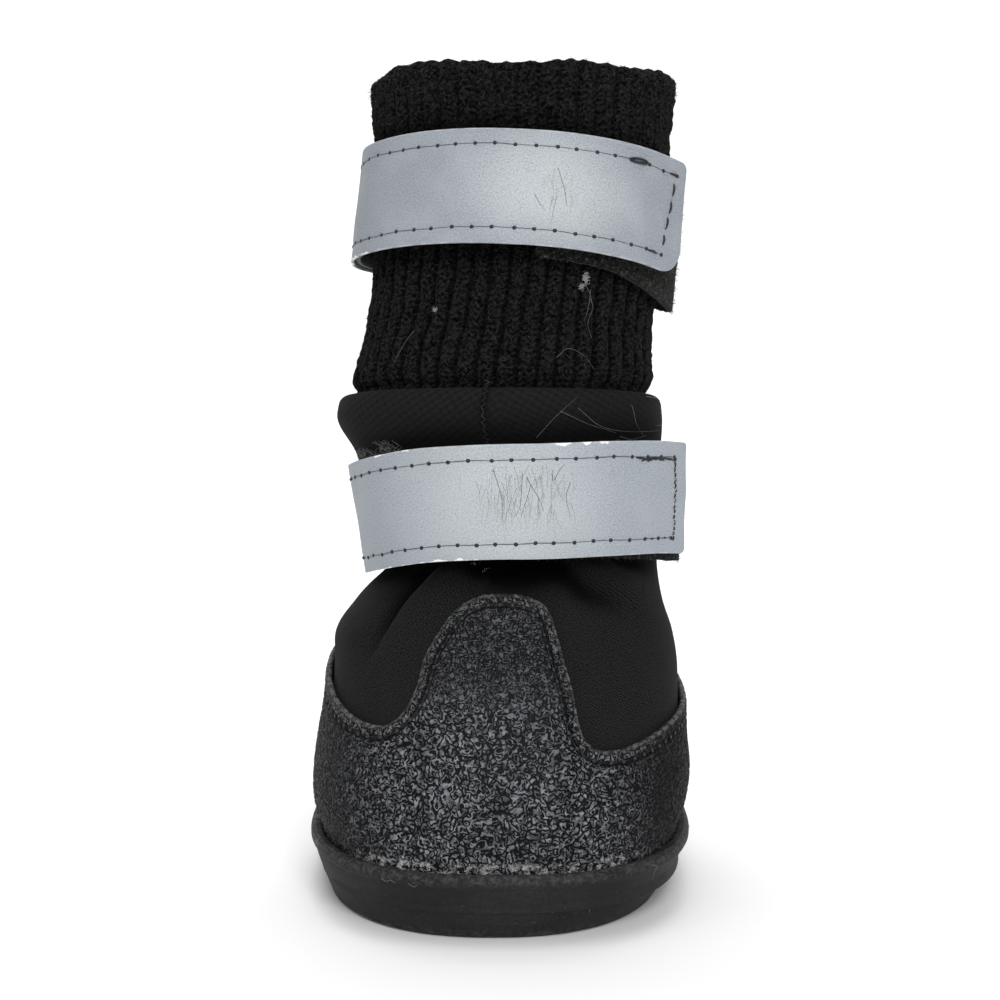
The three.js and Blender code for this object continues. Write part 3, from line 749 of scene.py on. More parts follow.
rand_turns, edge_length = even_turns(rand_rim, rand_columns)
outside = [(share, 0, rand_gap + rand_wall) for share in np.linspace(0, 1, rand_rows)]
arc = [
    (1, rim_radius * np.sin(a), rand_gap + rim_radius * (1 + np.cos(a)))
    for a in np.linspace(0, np.pi, 7)[1:-1]
]
inside = [(share, 0, rand_gap) for share in np.linspace(1, 0, rand_back_rows)]
share, over, out = np.array(outside + arc + inside + outside[:1]).T[:, :, None]
heights = rand_foot + share * (rand_top(rand_turns) - rim_radius - rand_foot) + over
points = upper_point(heights, rand_turns[None], out)
rim = rand_rim(rand_turns)
from_edge = np.array([
    np.linalg.norm(row[:, None] - rim[None], axis=2).min(axis=1) for row in points
])
from_edge[rand_rows + 2:] = 0
from_edge[0] = from_edge[1]
from_edge[-1] = from_edge[1]
front = int(np.argmin(np.abs(rand_turns)))
u, v = lengths_along(points, 1, front), lengths_along(points, 0)
rand = wrapped("rubber_rand_toe_cap", points, u, v, rest=points, from_edge=from_edge)
print(f"the rand's edge is {edge_length:.0f} mm long")


# %% The grain as one formula
coarse_drop, fine_drop = 1.06, 0.86


def worn_grain(tree, rest, from_edge):
    """How high the coating stands, from 0 in its black lines to 1 on its tops."""
    def moved(x, y, z):
        return put(tree, "ShaderNodeVectorMath", {0: rest, 1: (x, y, z)}, operation="ADD")

    def choose(share, a, b):
        return plus(tree, times(tree, a, share), times(tree, b, flip(tree, share)))

    def pattern(size):
        per_mm = 1 / size
        loose = shaken(tree, rest, rest, 0.6, 1.0, 1.6)
        edge = cells(tree, loose, per_mm, "DISTANCE_TO_EDGE")
        drops = fade(tree, edge, 0.03, 0.25)
        rings = fade(tree, calc(tree, "ABSOLUTE", calc(tree, "SUBTRACT", edge, 0.19)), 0.17, 0.03)
        height = plus(
            tree, mottle(tree, rest, 0.75 * per_mm, 0.0),
            times(tree, mottle(tree, moved(31, 17, 5), 1.8 * per_mm, 0.0), 0.3))
        worms = fade(tree, calc(tree, "SINE", times(tree, height, 8 * np.pi)), -1.0, 0.9)
        ringed = fade(tree, mottle(tree, moved(19, 1, 5), 0.9 * per_mm, 1.0), 0.45, 0.55)
        wormy = fade(tree, mottle(tree, moved(3, 11, 5), 0.62 * per_mm, 1.0), 0.47, 0.53)
        either = choose(wormy, worms, choose(ringed, rings, drops))
        return times(tree, either, fade(tree, mottle(tree, rest, 1.5 * per_mm, 1.0), 0.08, 0.62))

    x, y, z = parts(tree, rest)
    fine = fade(tree, z, 36.0, 46.0)
    both = choose(fine, pattern(fine_drop), pattern(coarse_drop))
    past_rim = plus(tree, times(tree, fade(tree, from_edge, 0.3, 0.9), 0.55), 0.45)
    return times(tree, both, past_rim)


def stitch_trough(tree, from_edge, inset_mm):
    return fade(tree, calc(tree, "ABSOLUTE", calc(tree, "SUBTRACT", from_edge, inset_mm)), 0.75, 0.25)


# %% Raise the grain on the mesh
rand_stitch_inset, grain_height, trough_depth = 2.1, 0.24, 0.22
group = bpy.data.node_groups.new("raised_grain", "GeometryNodeTree")
group.interface.new_socket("Geometry", in_out="INPUT", socket_type="NodeSocketGeometry")
group.interface.new_socket("Geometry", in_out="OUTPUT", socket_type="NodeSocketGeometry")
rest = put(group, "GeometryNodeInputNamedAttribute", {0: "rest"}, data_type="FLOAT_VECTOR")
edge = put(group, "GeometryNodeInputNamedAttribute", {0: "from_edge"}, data_type="FLOAT")
raised = times(group, worn_grain(group, rest, edge), grain_height * MM)
sunk = times(group, stitch_trough(group, edge, rand_stitch_inset), trough_depth * MM)
lift = calc(group, "SUBTRACT", raised, sunk)
normal = put(group, "GeometryNodeInputNormal", {})
offset = put(group, "ShaderNodeVectorMath", {0: normal, "Scale": lift}, operation="SCALE")
start = group.nodes.new("NodeGroupInput").outputs[0]
moved = put(group, "GeometryNodeSetPosition", {0: start, "Offset": offset})
group.links.new(moved, group.nodes.new("NodeGroupOutput").inputs[0])
apply_modifier(rand, "NODES", node_group=group)

# %% [markdown]
# The same formula colours the coating: black in the lines, grey on the tops, with each drop a little
# different. The pressed rim is a slightly green grey, the sides are painted blacker than the front as
# painted shade, most of all the right side, and pale dust sits where the coating meets the sole's lip in
# front.

# %% Rubber coating
coating, tree, shader, flat, solid = material("worn_rubber_coating", roughness=0.5, specular=0.12)
rest = painted(tree, "rest", 1)
edge = painted(tree, "from_edge")
grain = worn_grain(tree, rest, edge)
x, y, z = parts(tree, rest)
tone = mottle(tree, rest, 0.9, 2)
patch = mottle(tree, rest, 0.09, 3)
tops = blend(tree, fade(tree, tone, 0.35, 0.7), (0.07, 0.073, 0.081), (0.25, 0.258, 0.28))
tops = blend(tree, times(tree, fade(tree, patch, 0.4, 0.7), 0.4), tops, (0.03, 0.031, 0.035))
tops = blend(tree, times(tree, fade(tree, z, 30.0, 46.0), 0.6), tops, (0.03, 0.031, 0.035))
# Painted shade: the sides are made darker than the front.
side_shade = fade(tree, calc(tree, "ABSOLUTE", x), 14.0, 31.0)
tops = blend(tree, times(tree, side_shade, 0.88), tops, (0.0125, 0.013, 0.0138))
pressed = times(tree, fade(tree, edge, 1.9, 1.1), 0.45)
tops = blend(tree, pressed, tops, (0.15, 0.155, 0.155))
# Painted shade: the right side is made darker still.
right = fade(tree, x, 20.0, 32.0)
tops = blend(tree, times(tree, right, 0.85), tops, (0.004, 0.004, 0.0043))
colour = blend(tree, fade(tree, grain, 0.02, 0.85), (0.001, 0.001, 0.0014), tops)
rim_band = times(tree, fade(tree, edge, 0.6, 0.25), fade(tree, mottle(tree, rest, 1.6, 3, 0.6), 0.3, 0.6))
colour = blend(tree, rim_band, colour, (0.026, 0.028, 0.026))
worn_rim = times(tree, fade(tree, edge, 0.6, 0.25), fade(tree, mottle(tree, rest, 1.1, 3, 0.6), 0.45, 0.6))
colour = blend(tree, times(tree, worn_rim, 0.75), colour, (0.12, 0.125, 0.115))
sunk = stitch_trough(tree, edge, rand_stitch_inset)
colour = blend(tree, times(tree, sunk, 0.9), colour, (0.002, 0.002, 0.0024))
dust = times(tree, fade(tree, z, 13.9, 13.2), fade(tree, mottle(tree, rest, 0.7, 4, 0.75), 0.5, 0.6))
in_front = times(tree, fade(tree, calc(tree, "ABSOLUTE", x), 27.0, 17.0), fade(tree, y, 0.0, -20.0))
dust = times(tree, dust, plus(tree, times(tree, in_front, 0.75), 0.1))
colour = blend(tree, dust, colour, (0.4, 0.4, 0.39))
fine_grain = plus(tree, grain, times(tree, mottle(tree, rest, 4.0, 3), 0.25))
wire(tree, shader, Base_Color=colour, Normal=bump(tree, fine_grain, 0.3))
dress(rand, [coating], "rand_toe_cap", smooth=60)

# %% [markdown]
# ## The knit cuff
# The cuff is a tube of rib knit, folded over at its rim, so it is double, and its raw end is sewn
# inside the collar. Its ribs are real ridges with narrow dark valleys, and the ribs lean and spread
# where the neck opens over the collar. Ribs could be arrayed and bent round the shaft. Here one closed
# grid runs round it with ten points to a rib, so that the ribs follow the last and meet at the back.

# %% Cuff
points_per_rib, valley_place = 10, 2 / 3
cuff_row_step, cuff_lining_step = 0.44, 3.2
cuff_middle = collar_height + cuff_standing / 2
cuff_girth = even_turns(lambda turn: cuff_point(cuff_middle, turn), 8)[1]
rib_count = round(cuff_girth / rib_pitch)
cuff_turns = even_turns(lambda turn: cuff_point(cuff_middle, turn), rib_count * points_per_rib)[0]
neck, tuck_foot = collar_height + 1, collar_height - cuff_tuck
tucked = [(z, -upper_wall - seat_gap) for z in np.linspace(tuck_foot, collar_height - seat_gap, 10)]
standing = wall_profile(neck, cuff_height, cuff_wall, cuff_row_step, cuff_lining_step)[:-1]
inner_tuck = [(z, -upper_wall - seat_gap - cuff_wall) for z in (collar_height - seat_gap, tuck_foot)]


def cuff_rows(height, turn, out):
    """Points of the cuff, tucked inside the upper below the collar and free above it."""
    inside = upper_point(height, turn, out)
    return np.where((height < collar_height)[..., None], inside, cuff_point(height, turn, out))


profile = np.array(tucked + list(map(tuple, standing)) + inner_tuck + tucked[:1])
heights, outs = profile[:, :1], profile[:, 1:]
all_turns = cuff_turns[None]
outer_share = np.clip(1 + outs / cuff_wall, 0, 1)
outer_share[:len(tucked)] = 1
points = cuff_rows(heights, all_turns, outs)


def lumps(points, per_mm, seed, shape=noise.noise):
    """Soft noise between -1 and 1 at each point."""
    shift = Vector((seed * 17.3, seed * 5.1, seed * 9.7))
    flat = points.reshape(-1, 3) * per_mm
    return np.array([shape(Vector(p) + shift) for p in flat]).reshape(points.shape[:-1])


phase = np.arange(len(cuff_turns)) % points_per_rib / points_per_rib + 0.08 * lumps(points, 0.22, 5)
from_valley = np.abs((phase - valley_place + 0.5) % 1 - 0.5)
valley = 0.75 * np.exp(-((from_valley / 0.15) ** 2)) + 0.3 * (1 - 2 * from_valley) ** 2
near_rim = np.clip((heights - cuff_height + 6) / 6, 0, 1) ** 2
valley = valley + near_rim * (0.5 + 0.5 * np.cos(2 * np.pi * from_valley) - valley)
rib_number = np.arange(len(cuff_turns)) // points_per_rib % rib_count
rib_chance = np.random.default_rng(7)
rib_share = rib_chance.uniform(0.5, 1.02, rib_count)[rib_number]
calm = 1 - 0.35 * np.clip((heights - cuff_strap_height + 6) / 14, 0, 1)
valley = valley * calm
lift = -rib_depth * rib_share * valley * (0.3 + 0.7 * outer_share) * (1 - 0.45 * near_rim)
lift = lift + lumps(points, 0.12, 6) * 0.35 + lumps(points, 0.4, 1) * 0.3 + lumps(points, 1.15, 2) * 0.34
lift[len(tucked) + len(standing):] = 0
outward = cuff_rows(heights, all_turns, outs + 1) - points
points = points + outward * lift[..., None]
rise = lumps(points * (1, 1, 0), 0.11, 8) * 0.9 + lumps(points, 0.6, 3) * 0.5 - 0.32 * valley
points[..., 2] += near_rim * rise
droop = 3.2 * np.clip((-points[..., 0] - 17) / 15, 0, 1) ** 1.4
points[..., 2] -= droop * np.clip((heights - cuff_height + 11) / 11, 0, 1)
points[-1], points[:, -1] = points[0], points[:, 0]
cuff_surface, cuff_outward = points, outward
u = np.broadcast_to(np.arange(len(cuff_turns)) * rib_pitch / points_per_rib, points.shape[:2])
u = u - u[0, len(cuff_turns) // 2]
v = lengths_along(points, 0)
cuff = wrapped("rib_knit_cuff", points, u, v, valley=np.broadcast_to(valley, points.shape[:2]))
print(f"{rib_count} ribs round {cuff_girth:.0f} mm")

# %% [markdown]
# Each rib is two columns of knit stitches, blurred by worn, fluffy yarn, so that they read as grit more
# than as clear V shapes. They are far too many to model, so the finish draws them from the UV map, whose
# first axis counts ribs: each V is a wave whose phase slides with the distance from the middle of its
# column, and a strong grain breaks it up. The valleys between the ribs are painted nearly black, as painted
# shade.

# %% Rib knit
knit, tree, shader, flat, solid = material("black_rib_knit", roughness=1.0, sheen=0.015, specular=0.02)
loose = shaken(tree, flat, flat, 0.9, 3.0, 1.3)
u, v, w = parts(tree, loose)
wale_width, course_height = rib_pitch / 2, 1.05
wale = calc(tree, "FRACT", times(tree, u, 1 / wale_width))
from_middle = calc(tree, "ABSOLUTE", calc(tree, "SUBTRACT", wale, 0.5))
course = plus(tree, times(tree, v, 1 / course_height), times(tree, from_middle, 1.3))
stitch = plus(tree, times(tree, calc(tree, "SINE", times(tree, course, 2 * np.pi)), 0.5), 0.5)
grit = mottle(tree, solid, 1.5, 4, 0.72)
relief = plus(tree, times(tree, stitch, 0.11), times(tree, grit, 1.15))
colour = blend(tree, fade(tree, relief, 0.45, 0.9), (0.0003, 0.0003, 0.0003), (0.021, 0.021, 0.0203))
speck = fade(tree, mottle(tree, solid, 2.4, 4, 0.75), 0.56, 0.72)
colour = blend(tree, times(tree, speck, 0.6), colour, (0.05, 0.05, 0.047))
# Painted shade: the valleys between the ribs are made nearly black.
in_valley = painted(tree, "valley")
colour = blend(tree, times(tree, fade(tree, in_valley, 0.2, 0.85), 0.62), colour, (0.0006, 0.0006, 0.0006))
# Painted shade: the knit next to the cuff strap's edges is made nearly black.
strap_shade = painted(tree, "strap_shade")
colour = blend(tree, times(tree, strap_shade, 0.85), colour, (0.0004, 0.0004, 0.0004))
wire(tree, shader, Base_Color=colour, Normal=bump(tree, relief, 0.34))
dress(cuff, [knit], "knit_cuff", smooth=60)

# %% [markdown]
# ## Straps and loop tapes
# Each strap is silver reflective tape sewn on black hook tape, and each closes on a black loop tape
# that comes round from the back seam. Real straps are cut flat and bend only one way, so across its
# width each one is straight here, from its lower to its upper edge, and it curves only round the
# shaft. A grid is laid along the strap's run, the end's corners are rounded by narrowing its columns,
# and Solidify gives the tape its thickness. The rim gets a material of its own: the pale core shows.

# %% Points on a band
def band_point(band, turn, across, out):
    """A point on a band: its angle, its place across from -10 to 10 mm, and how far it stands out."""
    run, height, wall = band
    row = row_at(run, "turn", turn)
    under = seat_gap + row["over"] * (tape_wall + seat_gap) + out
    middle = height + row["lift"] * strap_width
    half = strap_width / 2
    for narrowing in range(2):
        low = wall(middle - half, turn, under + row["bottom"] * strap_slack)
        high = wall(middle + half, turn, under + row["top"] * strap_slack)
        chord = np.linalg.norm(high - low, axis=-1)
        half = half * strap_width / chord
    return low + (high - low) * (0.5 + across / strap_width)[..., None]


def along_band(band):
    """Angles along a band, and the real length of its face from its free end to each."""
    turn = np.linspace(band[0]["turn"][-1], band[0]["turn"][0], 1600)
    face = band_point(band, turn, np.zeros_like(turn), strap_wall)
    return turn, lengths_along(face[None], 1)[0]


def on_band(band, along, across, out=strap_wall):
    """Points at real lengths along and across a band."""
    turn, length = along_band(band)
    along, across, out = np.broadcast_arrays(np.asarray(along, float), np.asarray(across, float), out)
    return band_point(band, np.interp(along, length, turn), across, out)


ankle_strap = ankle_strap_run, ankle_strap_height, upper_point
ankle_tape = ankle_tape_run, ankle_strap_height, upper_point
cuff_strap = cuff_strap_run, cuff_strap_height, cuff_point
cuff_tape = cuff_tape_run, cuff_strap_height, cuff_point
for name, band in (("ankle strap", ankle_strap), ("cuff strap", cuff_strap)):
    print(f"the {name} is {along_band(band)[1][-1]:.0f} mm long")


# %% [markdown]
# Cloth beside the edge of a strap lies in the strap's shade, so it is painted a deeper black there as
# painted shade. A painted mask could hold that. Here each point of the cloth gets its nearness to the
# strap's edges as an attribute, which the finishes above read to paint the shade.

# %% Painted shade beside the straps
def paint_strap_shade(piece, band, reach):
    """Marks how near each point of the cloth lies to the edges of a strap."""
    points = places(piece)
    nearest = np.full(len(points), 1e9)
    turn = along_band(band)[0][::14]
    for across in (-strap_width / 2, strap_width / 2):
        for place in band_point(band, turn, np.full_like(turn, across), 0.0):
            nearest = np.minimum(nearest, np.linalg.norm(points - place, axis=1))
    mark = piece.data.attributes.new("strap_shade", "FLOAT", "POINT")
    mark.data.foreach_set("value", np.exp(-((nearest / reach) ** 2)).astype(np.float32))


paint_strap_shade(upper, ankle_strap, 4.8)
paint_strap_shade(cuff, cuff_strap, 3.0)


# %% A tape cut to shape and laid along its band
def cut_back(distance, radius):
    """How much a rounded corner of this radius takes off at a distance from the end."""
    inside = np.clip(1 - distance / radius, 0, 1) if radius else np.zeros_like(distance)
    return radius * (1 - np.sqrt(1 - inside**2))


def cut_tape(name, band, outside, thickness, inset, corners, step, lift=None, rim=0, back=0):
    """A tape whose outer face stands so far out. corners are the radii at the top and the bottom."""
    length = along_band(band)[1][-1]
    corner = max(corners)
    arc = corner * (1 - np.cos(np.linspace(0, np.pi / 2, 10)[:-1])) if corner else np.zeros(1)
    start = corner + inset if corner else inset
    straight = np.linspace(start, length - inset, round((length - start) / step))
    along = np.concatenate([arc[arc < corner] + inset, straight])
    if band[0]["turn"][0] < band[0]["turn"][-1]:
        along = along[::-1]
    half = strap_width / 2 - inset
    top = half - cut_back(along - inset, corners[0])
    bottom = -half + cut_back(along - inset, corners[1])
    share = np.linspace(0, 1, round(2 * half / step) + 1)[:, None]
    across = bottom + (top - bottom) * share
    along = np.broadcast_to(along, across.shape)
    raised = lift(along, across) if lift else 0
    tape = wrapped(name, on_band(band, along, across, outside + raised), along, across)
    apply_modifier(
        tape, "SOLIDIFY", thickness=thickness * MM, offset=-1,
        material_offset_rim=rim, material_offset=back,
    )
    edge = min(0.13, thickness / 4) * MM
    apply_modifier(tape, "BEVEL", width=edge, segments=2, limit_method="ANGLE", angle_limit=np.radians(60))
    return tape


# %% Where the thread runs
stitch_inset, stitch_pitch, groove_reach = 2.7, 3.55, 0.5


def thread_pucker(along, across, seed=0):
    """The face sinks along its stitches, most at each hole, and waves a little between them."""
    to_line = np.minimum(
        np.abs(np.abs(across) - strap_width / 2 + stitch_inset) + 99 * (along < stitch_inset - 0.5),
        np.abs(along - stitch_inset) + 99 * (np.abs(across) > strap_width / 2 - stitch_inset + 0.5),
    )
    hole = 0.65 + 0.35 * np.cos(2 * np.pi * (along - stitch_inset) / stitch_pitch)
    sag = -0.2 * hole * np.exp(-((to_line / groove_reach) ** 2))
    wave = np.stack([along * 0.11, across * 0.16, np.full_like(along, seed)], -1)
    return sag + 0.22 * lumps(wave, 1, seed)


# %% Straps, each a silver face and a hook tape behind it
film_thickness, hook_inset = 0.5, 0.55
straps = {
    "ankle": (ankle_strap, (0.8, 1.4), 3),
    "cuff": (cuff_strap, (1.2, 5.2), 8),
}
strap_pieces, hook_pieces = {}, {}
for name, (band, corners, seed) in straps.items():
    pucker = lambda along, across: thread_pucker(along, across, seed)
    strap_pieces[name] = cut_tape(
        f"reflective_{name}_strap", band, strap_wall, film_thickness, 0, corners, 0.5, pucker, 1, 2,
    )
    hook_out = strap_wall - film_thickness - 0.08
    hook_pieces[name] = cut_tape(
        f"hook_tape_of_{name}_strap", band, hook_out, hook_out - 0.08, hook_inset,
        tuple(max(corner - hook_inset, 0.3) for corner in corners), 0.8,
        lambda along, across: 0.22 * lumps(
            np.stack([along * 0.11, across * 0.16, np.full_like(along, seed)], -1), 1, seed) - 0.2,
    )


# %% [markdown]
# The silver face is a film full of glass beads: it looks like a matt, slightly blue grey, with a fine
# sparkle, and a painted highlight makes it brighter in a soft spot where it faces the light. Its wear
# follows the photograph: faint yellowish scuffs, paler rubbed patches, and a chipped, whitish edge. The UV
# map gives the distance from the free end and from the middle of the strap in millimetres, so each mark
# is placed by its real size.

# %% Reflective film
def spot(tree, flat, along, across, reach_along, reach_across, turn=0):
    """1 in the middle of a soft oval on the strap, and 0 outside it."""
    place = put(tree, "ShaderNodeVectorMath", {0: flat, 1: (along, across, 0)}, operation="SUBTRACT")
    place = stretched(tree, place, 1 / reach_along, 1 / reach_across, 0, turn)
    length = put(tree, "ShaderNodeVectorMath", {0: place}, 1, operation="LENGTH")
    return fade(tree, length, 1.0, 0.2)


def film(name, tone, highlight_spot, scuffs, chips):
    made, tree, shader, flat, solid = material(name, roughness=0.6, metallic=0.05, specular=0.25)
    u, v, w = parts(tree, flat)
    grain = mottle(tree, flat, 3.4, 4, 0.75)
    cloud = mottle(tree, flat, 0.12, 3)
    dull, clear = (tone * np.array(shade) for shade in ((0.2, 0.222, 0.252), (0.335, 0.362, 0.395)))
    colour = blend(tree, fade(tree, grain, 0.32, 0.68), tuple(dull), tuple(clear))
    colour = blend(tree, times(tree, fade(tree, cloud, 0.4, 0.75), 0.3), colour, (0.4, 0.43, 0.45))
    # Painted highlight: a soft bright spot on the strap, where it faces the light.
    painted_highlight = times(tree, spot(tree, flat, *highlight_spot), fade(tree, grain, 0.2, 0.7))
    colour = blend(tree, times(tree, painted_highlight, 0.8), colour, (0.56, 0.6, 0.61))
    streaks = fade(tree, mottle(tree, stretched(tree, flat, 1, 0.25), 1.3, 4, 0.7), 0.5, 0.66)
    for scuff in scuffs:
        mark = times(tree, spot(tree, flat, *scuff), streaks)
        colour = blend(tree, times(tree, mark, 0.38), colour, (0.27, 0.262, 0.2))
    specks = fade(tree, cells(tree, flat, 0.45), 0.1, 0.05)
    colour = blend(tree, times(tree, specks, 0.35), colour, (0.13, 0.135, 0.14))
    ragged = plus(tree, calc(tree, "ABSOLUTE", v), times(tree, mottle(tree, flat, 0.8, 3), 0.5))
    worn_here = fade(tree, mottle(tree, flat, 0.2, 2), 0.4, 0.65)
    worn_edge = times(tree, fade(tree, ragged, 9.95, 10.25), worn_here)
    colour = blend(tree, times(tree, worn_edge, 0.6), colour, (0.66, 0.67, 0.67))
    for start, end, side, reach in chips:
        here = times(tree, fade(tree, u, start - 0.7, start), fade(tree, u, end + 0.7, end))
        torn = times(tree, calc(tree, "SUBTRACT", mottle(tree, flat, 0.42, 3), 0.45), 3.0)
        torn = plus(tree, times(tree, v, float(side)), torn)
        chip = times(tree, fade(tree, torn, 10 - reach, 10.12 - reach), here)
        colour = blend(tree, chip, colour, (0.84, 0.85, 0.85))
    wire(tree, shader, Base_Color=colour, Normal=bump(tree, grain, 0.05))
    return made


# Each spot gives its middle along and across, its reach along and across, and its turn. Each chipped
# stretch gives its start and end along the strap, its side (1 is the top) and how far it reaches in.
# The first spot of each film is its painted highlight, and the rest are scuffs.
cuff_film = film(
    "reflective_film_cuff", 1.03, (28, 0, 21, 13, 12),
    [(24, -2.5, 4.5, 6), (28.5, 1.5, 3, 5), (18, 3, 3, 3)], [(62, 78, -1, -0.15)])
# Painted light: the ankle's film is made brighter than the cuff's, though both are the same film.
ankle_film = film(
    "reflective_film_ankle", 1.2, (38, 0, 25, 20, 0),
    [(33, 1, 9, 7), (38, -1, 3.5, 6), (30, 1, 3, 7), (19, 5, 5, 4)],
    [(19.5, 30.5, 1, 0.05), (52, 66, 1, -0.1), (44, 66, -1, -0.1)])
core, tree, shader, flat, solid = material("film_core", roughness=0.7)
u, v, w = parts(tree, flat)
grime = fade(tree, mottle(tree, solid, 0.35, 4), 0.4, 0.62)
pale = times(tree, fade(tree, u, 54.0, 64.0), fade(tree, v, -5.0, -8.0))
colour = blend(tree, grime, (0.17, 0.176, 0.18), (0.04, 0.042, 0.045))
wire(tree, shader, Base_Color=blend(tree, pale, colour, (0.72, 0.73, 0.72)))
hooks, tree, shader, flat, solid = material("black_hook_tape", roughness=0.6)
hook = cells(tree, flat, 1.6)
colour = blend(tree, fade(tree, hook, 0.15, 0.5), (0.02, 0.02, 0.02), (0.004, 0.004, 0.004))
wire(tree, shader, Base_Color=colour, Normal=bump(tree, fade(tree, hook, 0.45, 0.1), 0.4))
for name, film_finish in (("ankle", ankle_film), ("cuff", cuff_film)):
    strap_node = f"{name}_strap"
    dress(strap_pieces[name], [film_finish, core, hooks], strap_node)
    dress(hook_pieces[name], [hooks], strap_node)

# %% [markdown]
# The loop tapes show beside the ends of the straps. They are the same kind of band with a rough,
# brushed face, and their pile is added below as real fibres.

# %% Loop tapes
pile, tree, shader, flat, solid = material("black_loop_pile", roughness=1.0, sheen=0.05, specular=0.04)
curl = mottle(tree, solid, 1.5, 4, 0.75)
colour = blend(tree, fade(tree, curl, 0.35, 0.7), (0.002, 0.002, 0.002), (0.034, 0.0345, 0.032))
colour = blend(tree, fade(tree, curl, 0.57, 0.72), colour, (0.15, 0.155, 0.135))
wire(tree, shader, Base_Color=colour, Normal=bump(tree, curl, 0.5))
for name, band in (("ankle", ankle_tape), ("cuff", cuff_tape)):
    tape_rows = lambda along, across: 0.18 * lumps(np.stack([along, across, 0 * along], -1), 0.8, 4)
    outside, thickness = tape_wall - 0.15, tape_wall - 0.3
    tape = cut_tape(f"loop_tape_of_{name}", band, outside, thickness, 0, (1, 1), 0.55, tape_rows)
    dress(tape, [pile], f"{name}_loop_tape")

# %% [markdown]
# ## Threads, pile and hairs
# A thread, a fibre and a hair are all the same thing at different sizes: a curve with a round bevel,
# turned into a mesh. Thousands of them fit in one curve object, one spline each, so each kind is one
# piece. Hundreds of tiny meshes would do too, but would be slow to handle.

# %% Strands
def strands(name, paths, radius, finish, round_steps=0, taper=1.0):
    """One mesh of round strands along the given rows of points in millimetres."""
    curve = bpy.data.curves.new(name, "CURVE")
    curve.dimensions = "3D"
    curve.bevel_depth = radius * MM
    curve.bevel_resolution = round_steps
    curve.use_fill_caps = True
    for path in paths:
        spline = curve.splines.new("POLY")
        spline.points.add(len(path) - 1)
        place = np.concatenate([np.asarray(path) * MM, np.ones((len(path), 1))], 1)
        spline.points.foreach_set("co", place.astype(np.float32).ravel())
        spline.points.foreach_set("radius", np.linspace(1, taper, len(path)).astype(np.float32))
    piece = bpy.data.objects.new(name, curve)
    bpy.context.scene.collection.objects.link(piece)
    only(piece)
    bpy.ops.object.convert(target="MESH")
    piece = bpy.context.object
    dress(piece, [finish], smooth=80)
    return piece


def plain(name, colour, roughness=0.6, sheen=0.0):
    """A fibre's finish: its colour varies a little from place to place, as dyed yarn does."""
    made, tree, shader, flat, solid = material(name, roughness, sheen)
    tone = fade(tree, mottle(tree, solid, 0.6, 3), 0.3, 0.7)
    darker = tuple(0.55 * c for c in colour)
    wire(tree, shader, Base_Color=blend(tree, tone, darker, colour))
    return made


black_thread = plain("black_thread", (0.007, 0.008, 0.012), 0.5)
worn_thread = plain("worn_thread", (0.1, 0.11, 0.13), 0.6)
black_fibre = plain("black_fibre", (0.016, 0.016, 0.0155), 0.8)
grey_fibre = plain("grey_fibre", (0.085, 0.085, 0.08), 0.8)
pale_hair = plain("pale_hair", (0.2, 0.197, 0.187), 0.5)
dark_hair = plain("dark_hair", (0.06, 0.057, 0.047), 0.5)
dull_scratch = plain("dull_scratch", (0.2, 0.195, 0.15), 0.7)
white_lint = plain("white_lint", (0.45, 0.45, 0.44), 0.8)

# %% [markdown]
# The straps are sewn with a lockstitch. On the silver face it shows as a dark dot at each needle hole,
# where the thread dives in, and a fine thread from dot to dot. One knot is modelled from a small
# sphere, pressed flat, and copied to every hole.

# %% A knot, and copies of it
def knot_model(width, thickness):
    bpy.ops.object.select_all(action="DESELECT")
    bpy.ops.mesh.primitive_ico_sphere_add(subdivisions=2, radius=0.5)
    model = bpy.context.object
    with editing(model):
        bpy.ops.transform.resize(value=(width, width * 0.92, thickness))
    shape = places(model) * MM
    faces = [tuple(face.vertices) for face in model.data.polygons]
    bpy.data.objects.remove(model)
    return shape, faces


def copies(name, model, frames, finish):
    """One mesh of copies of a small model, each placed by a point, two axes and a normal."""
    shape, faces = model
    points = np.concatenate([place + shape @ np.array(axes) for place, axes in frames])
    all_faces = [
        tuple(i + len(shape) * copy for i in face) for copy in range(len(frames)) for face in faces
    ]
    mesh = bpy.data.meshes.new(name)
    mesh.from_pydata((points * MM).tolist(), [], all_faces)
    piece = bpy.data.objects.new(name, mesh)
    bpy.context.scene.collection.objects.link(piece)
    dress(piece, [finish], smooth=80)
    return piece


def axes_at(surface, along, across):
    """Two directions on a surface and its normal, at one place."""
    here = surface(along, across, 0)
    forward = surface(along + 0.2, across, 0) - here
    forward = forward / np.linalg.norm(forward)
    normal = surface(along, across, 1) - here
    side = np.cross(normal, forward)
    side = side / np.linalg.norm(side)
    return here, (forward, side, np.cross(forward, side))


# %% Sew the straps
def strap_seam(length, top_start, bottom_start):
    """Needle holes along the top, and back along the bottom, from and to the fixed end."""
    line = strap_width / 2 - stitch_inset
    top = np.arange(top_start, length - stitch_inset, stitch_pitch)
    bottom = np.arange(bottom_start, length - stitch_inset, stitch_pitch)
    return [(a, line) for a in top[::-1]], [(a, -line) for a in bottom]


def strap_face(band, seed):
    return lambda along, across, out: on_band(
        band, along, across, strap_wall + out + thread_pucker(np.array(along), np.array(across), seed))


def dashes(face, marks, rng, lift=0.1, stray=0.0):
    """Short threads on a face. Each mark gives where it starts and where it ends, along and across."""
    share = np.linspace(0, 1, 6)
    paths = []
    for a, c, b, d in marks:
        a, c, b, d = (place + rng.uniform(-stray, stray) for place in (a, c, b, d))
        arch = -0.12 + lift * 2 * np.sin(np.pi * share)
        paths.append(face(a + (b - a) * share, c + (d - c) * share, arch))
    return paths


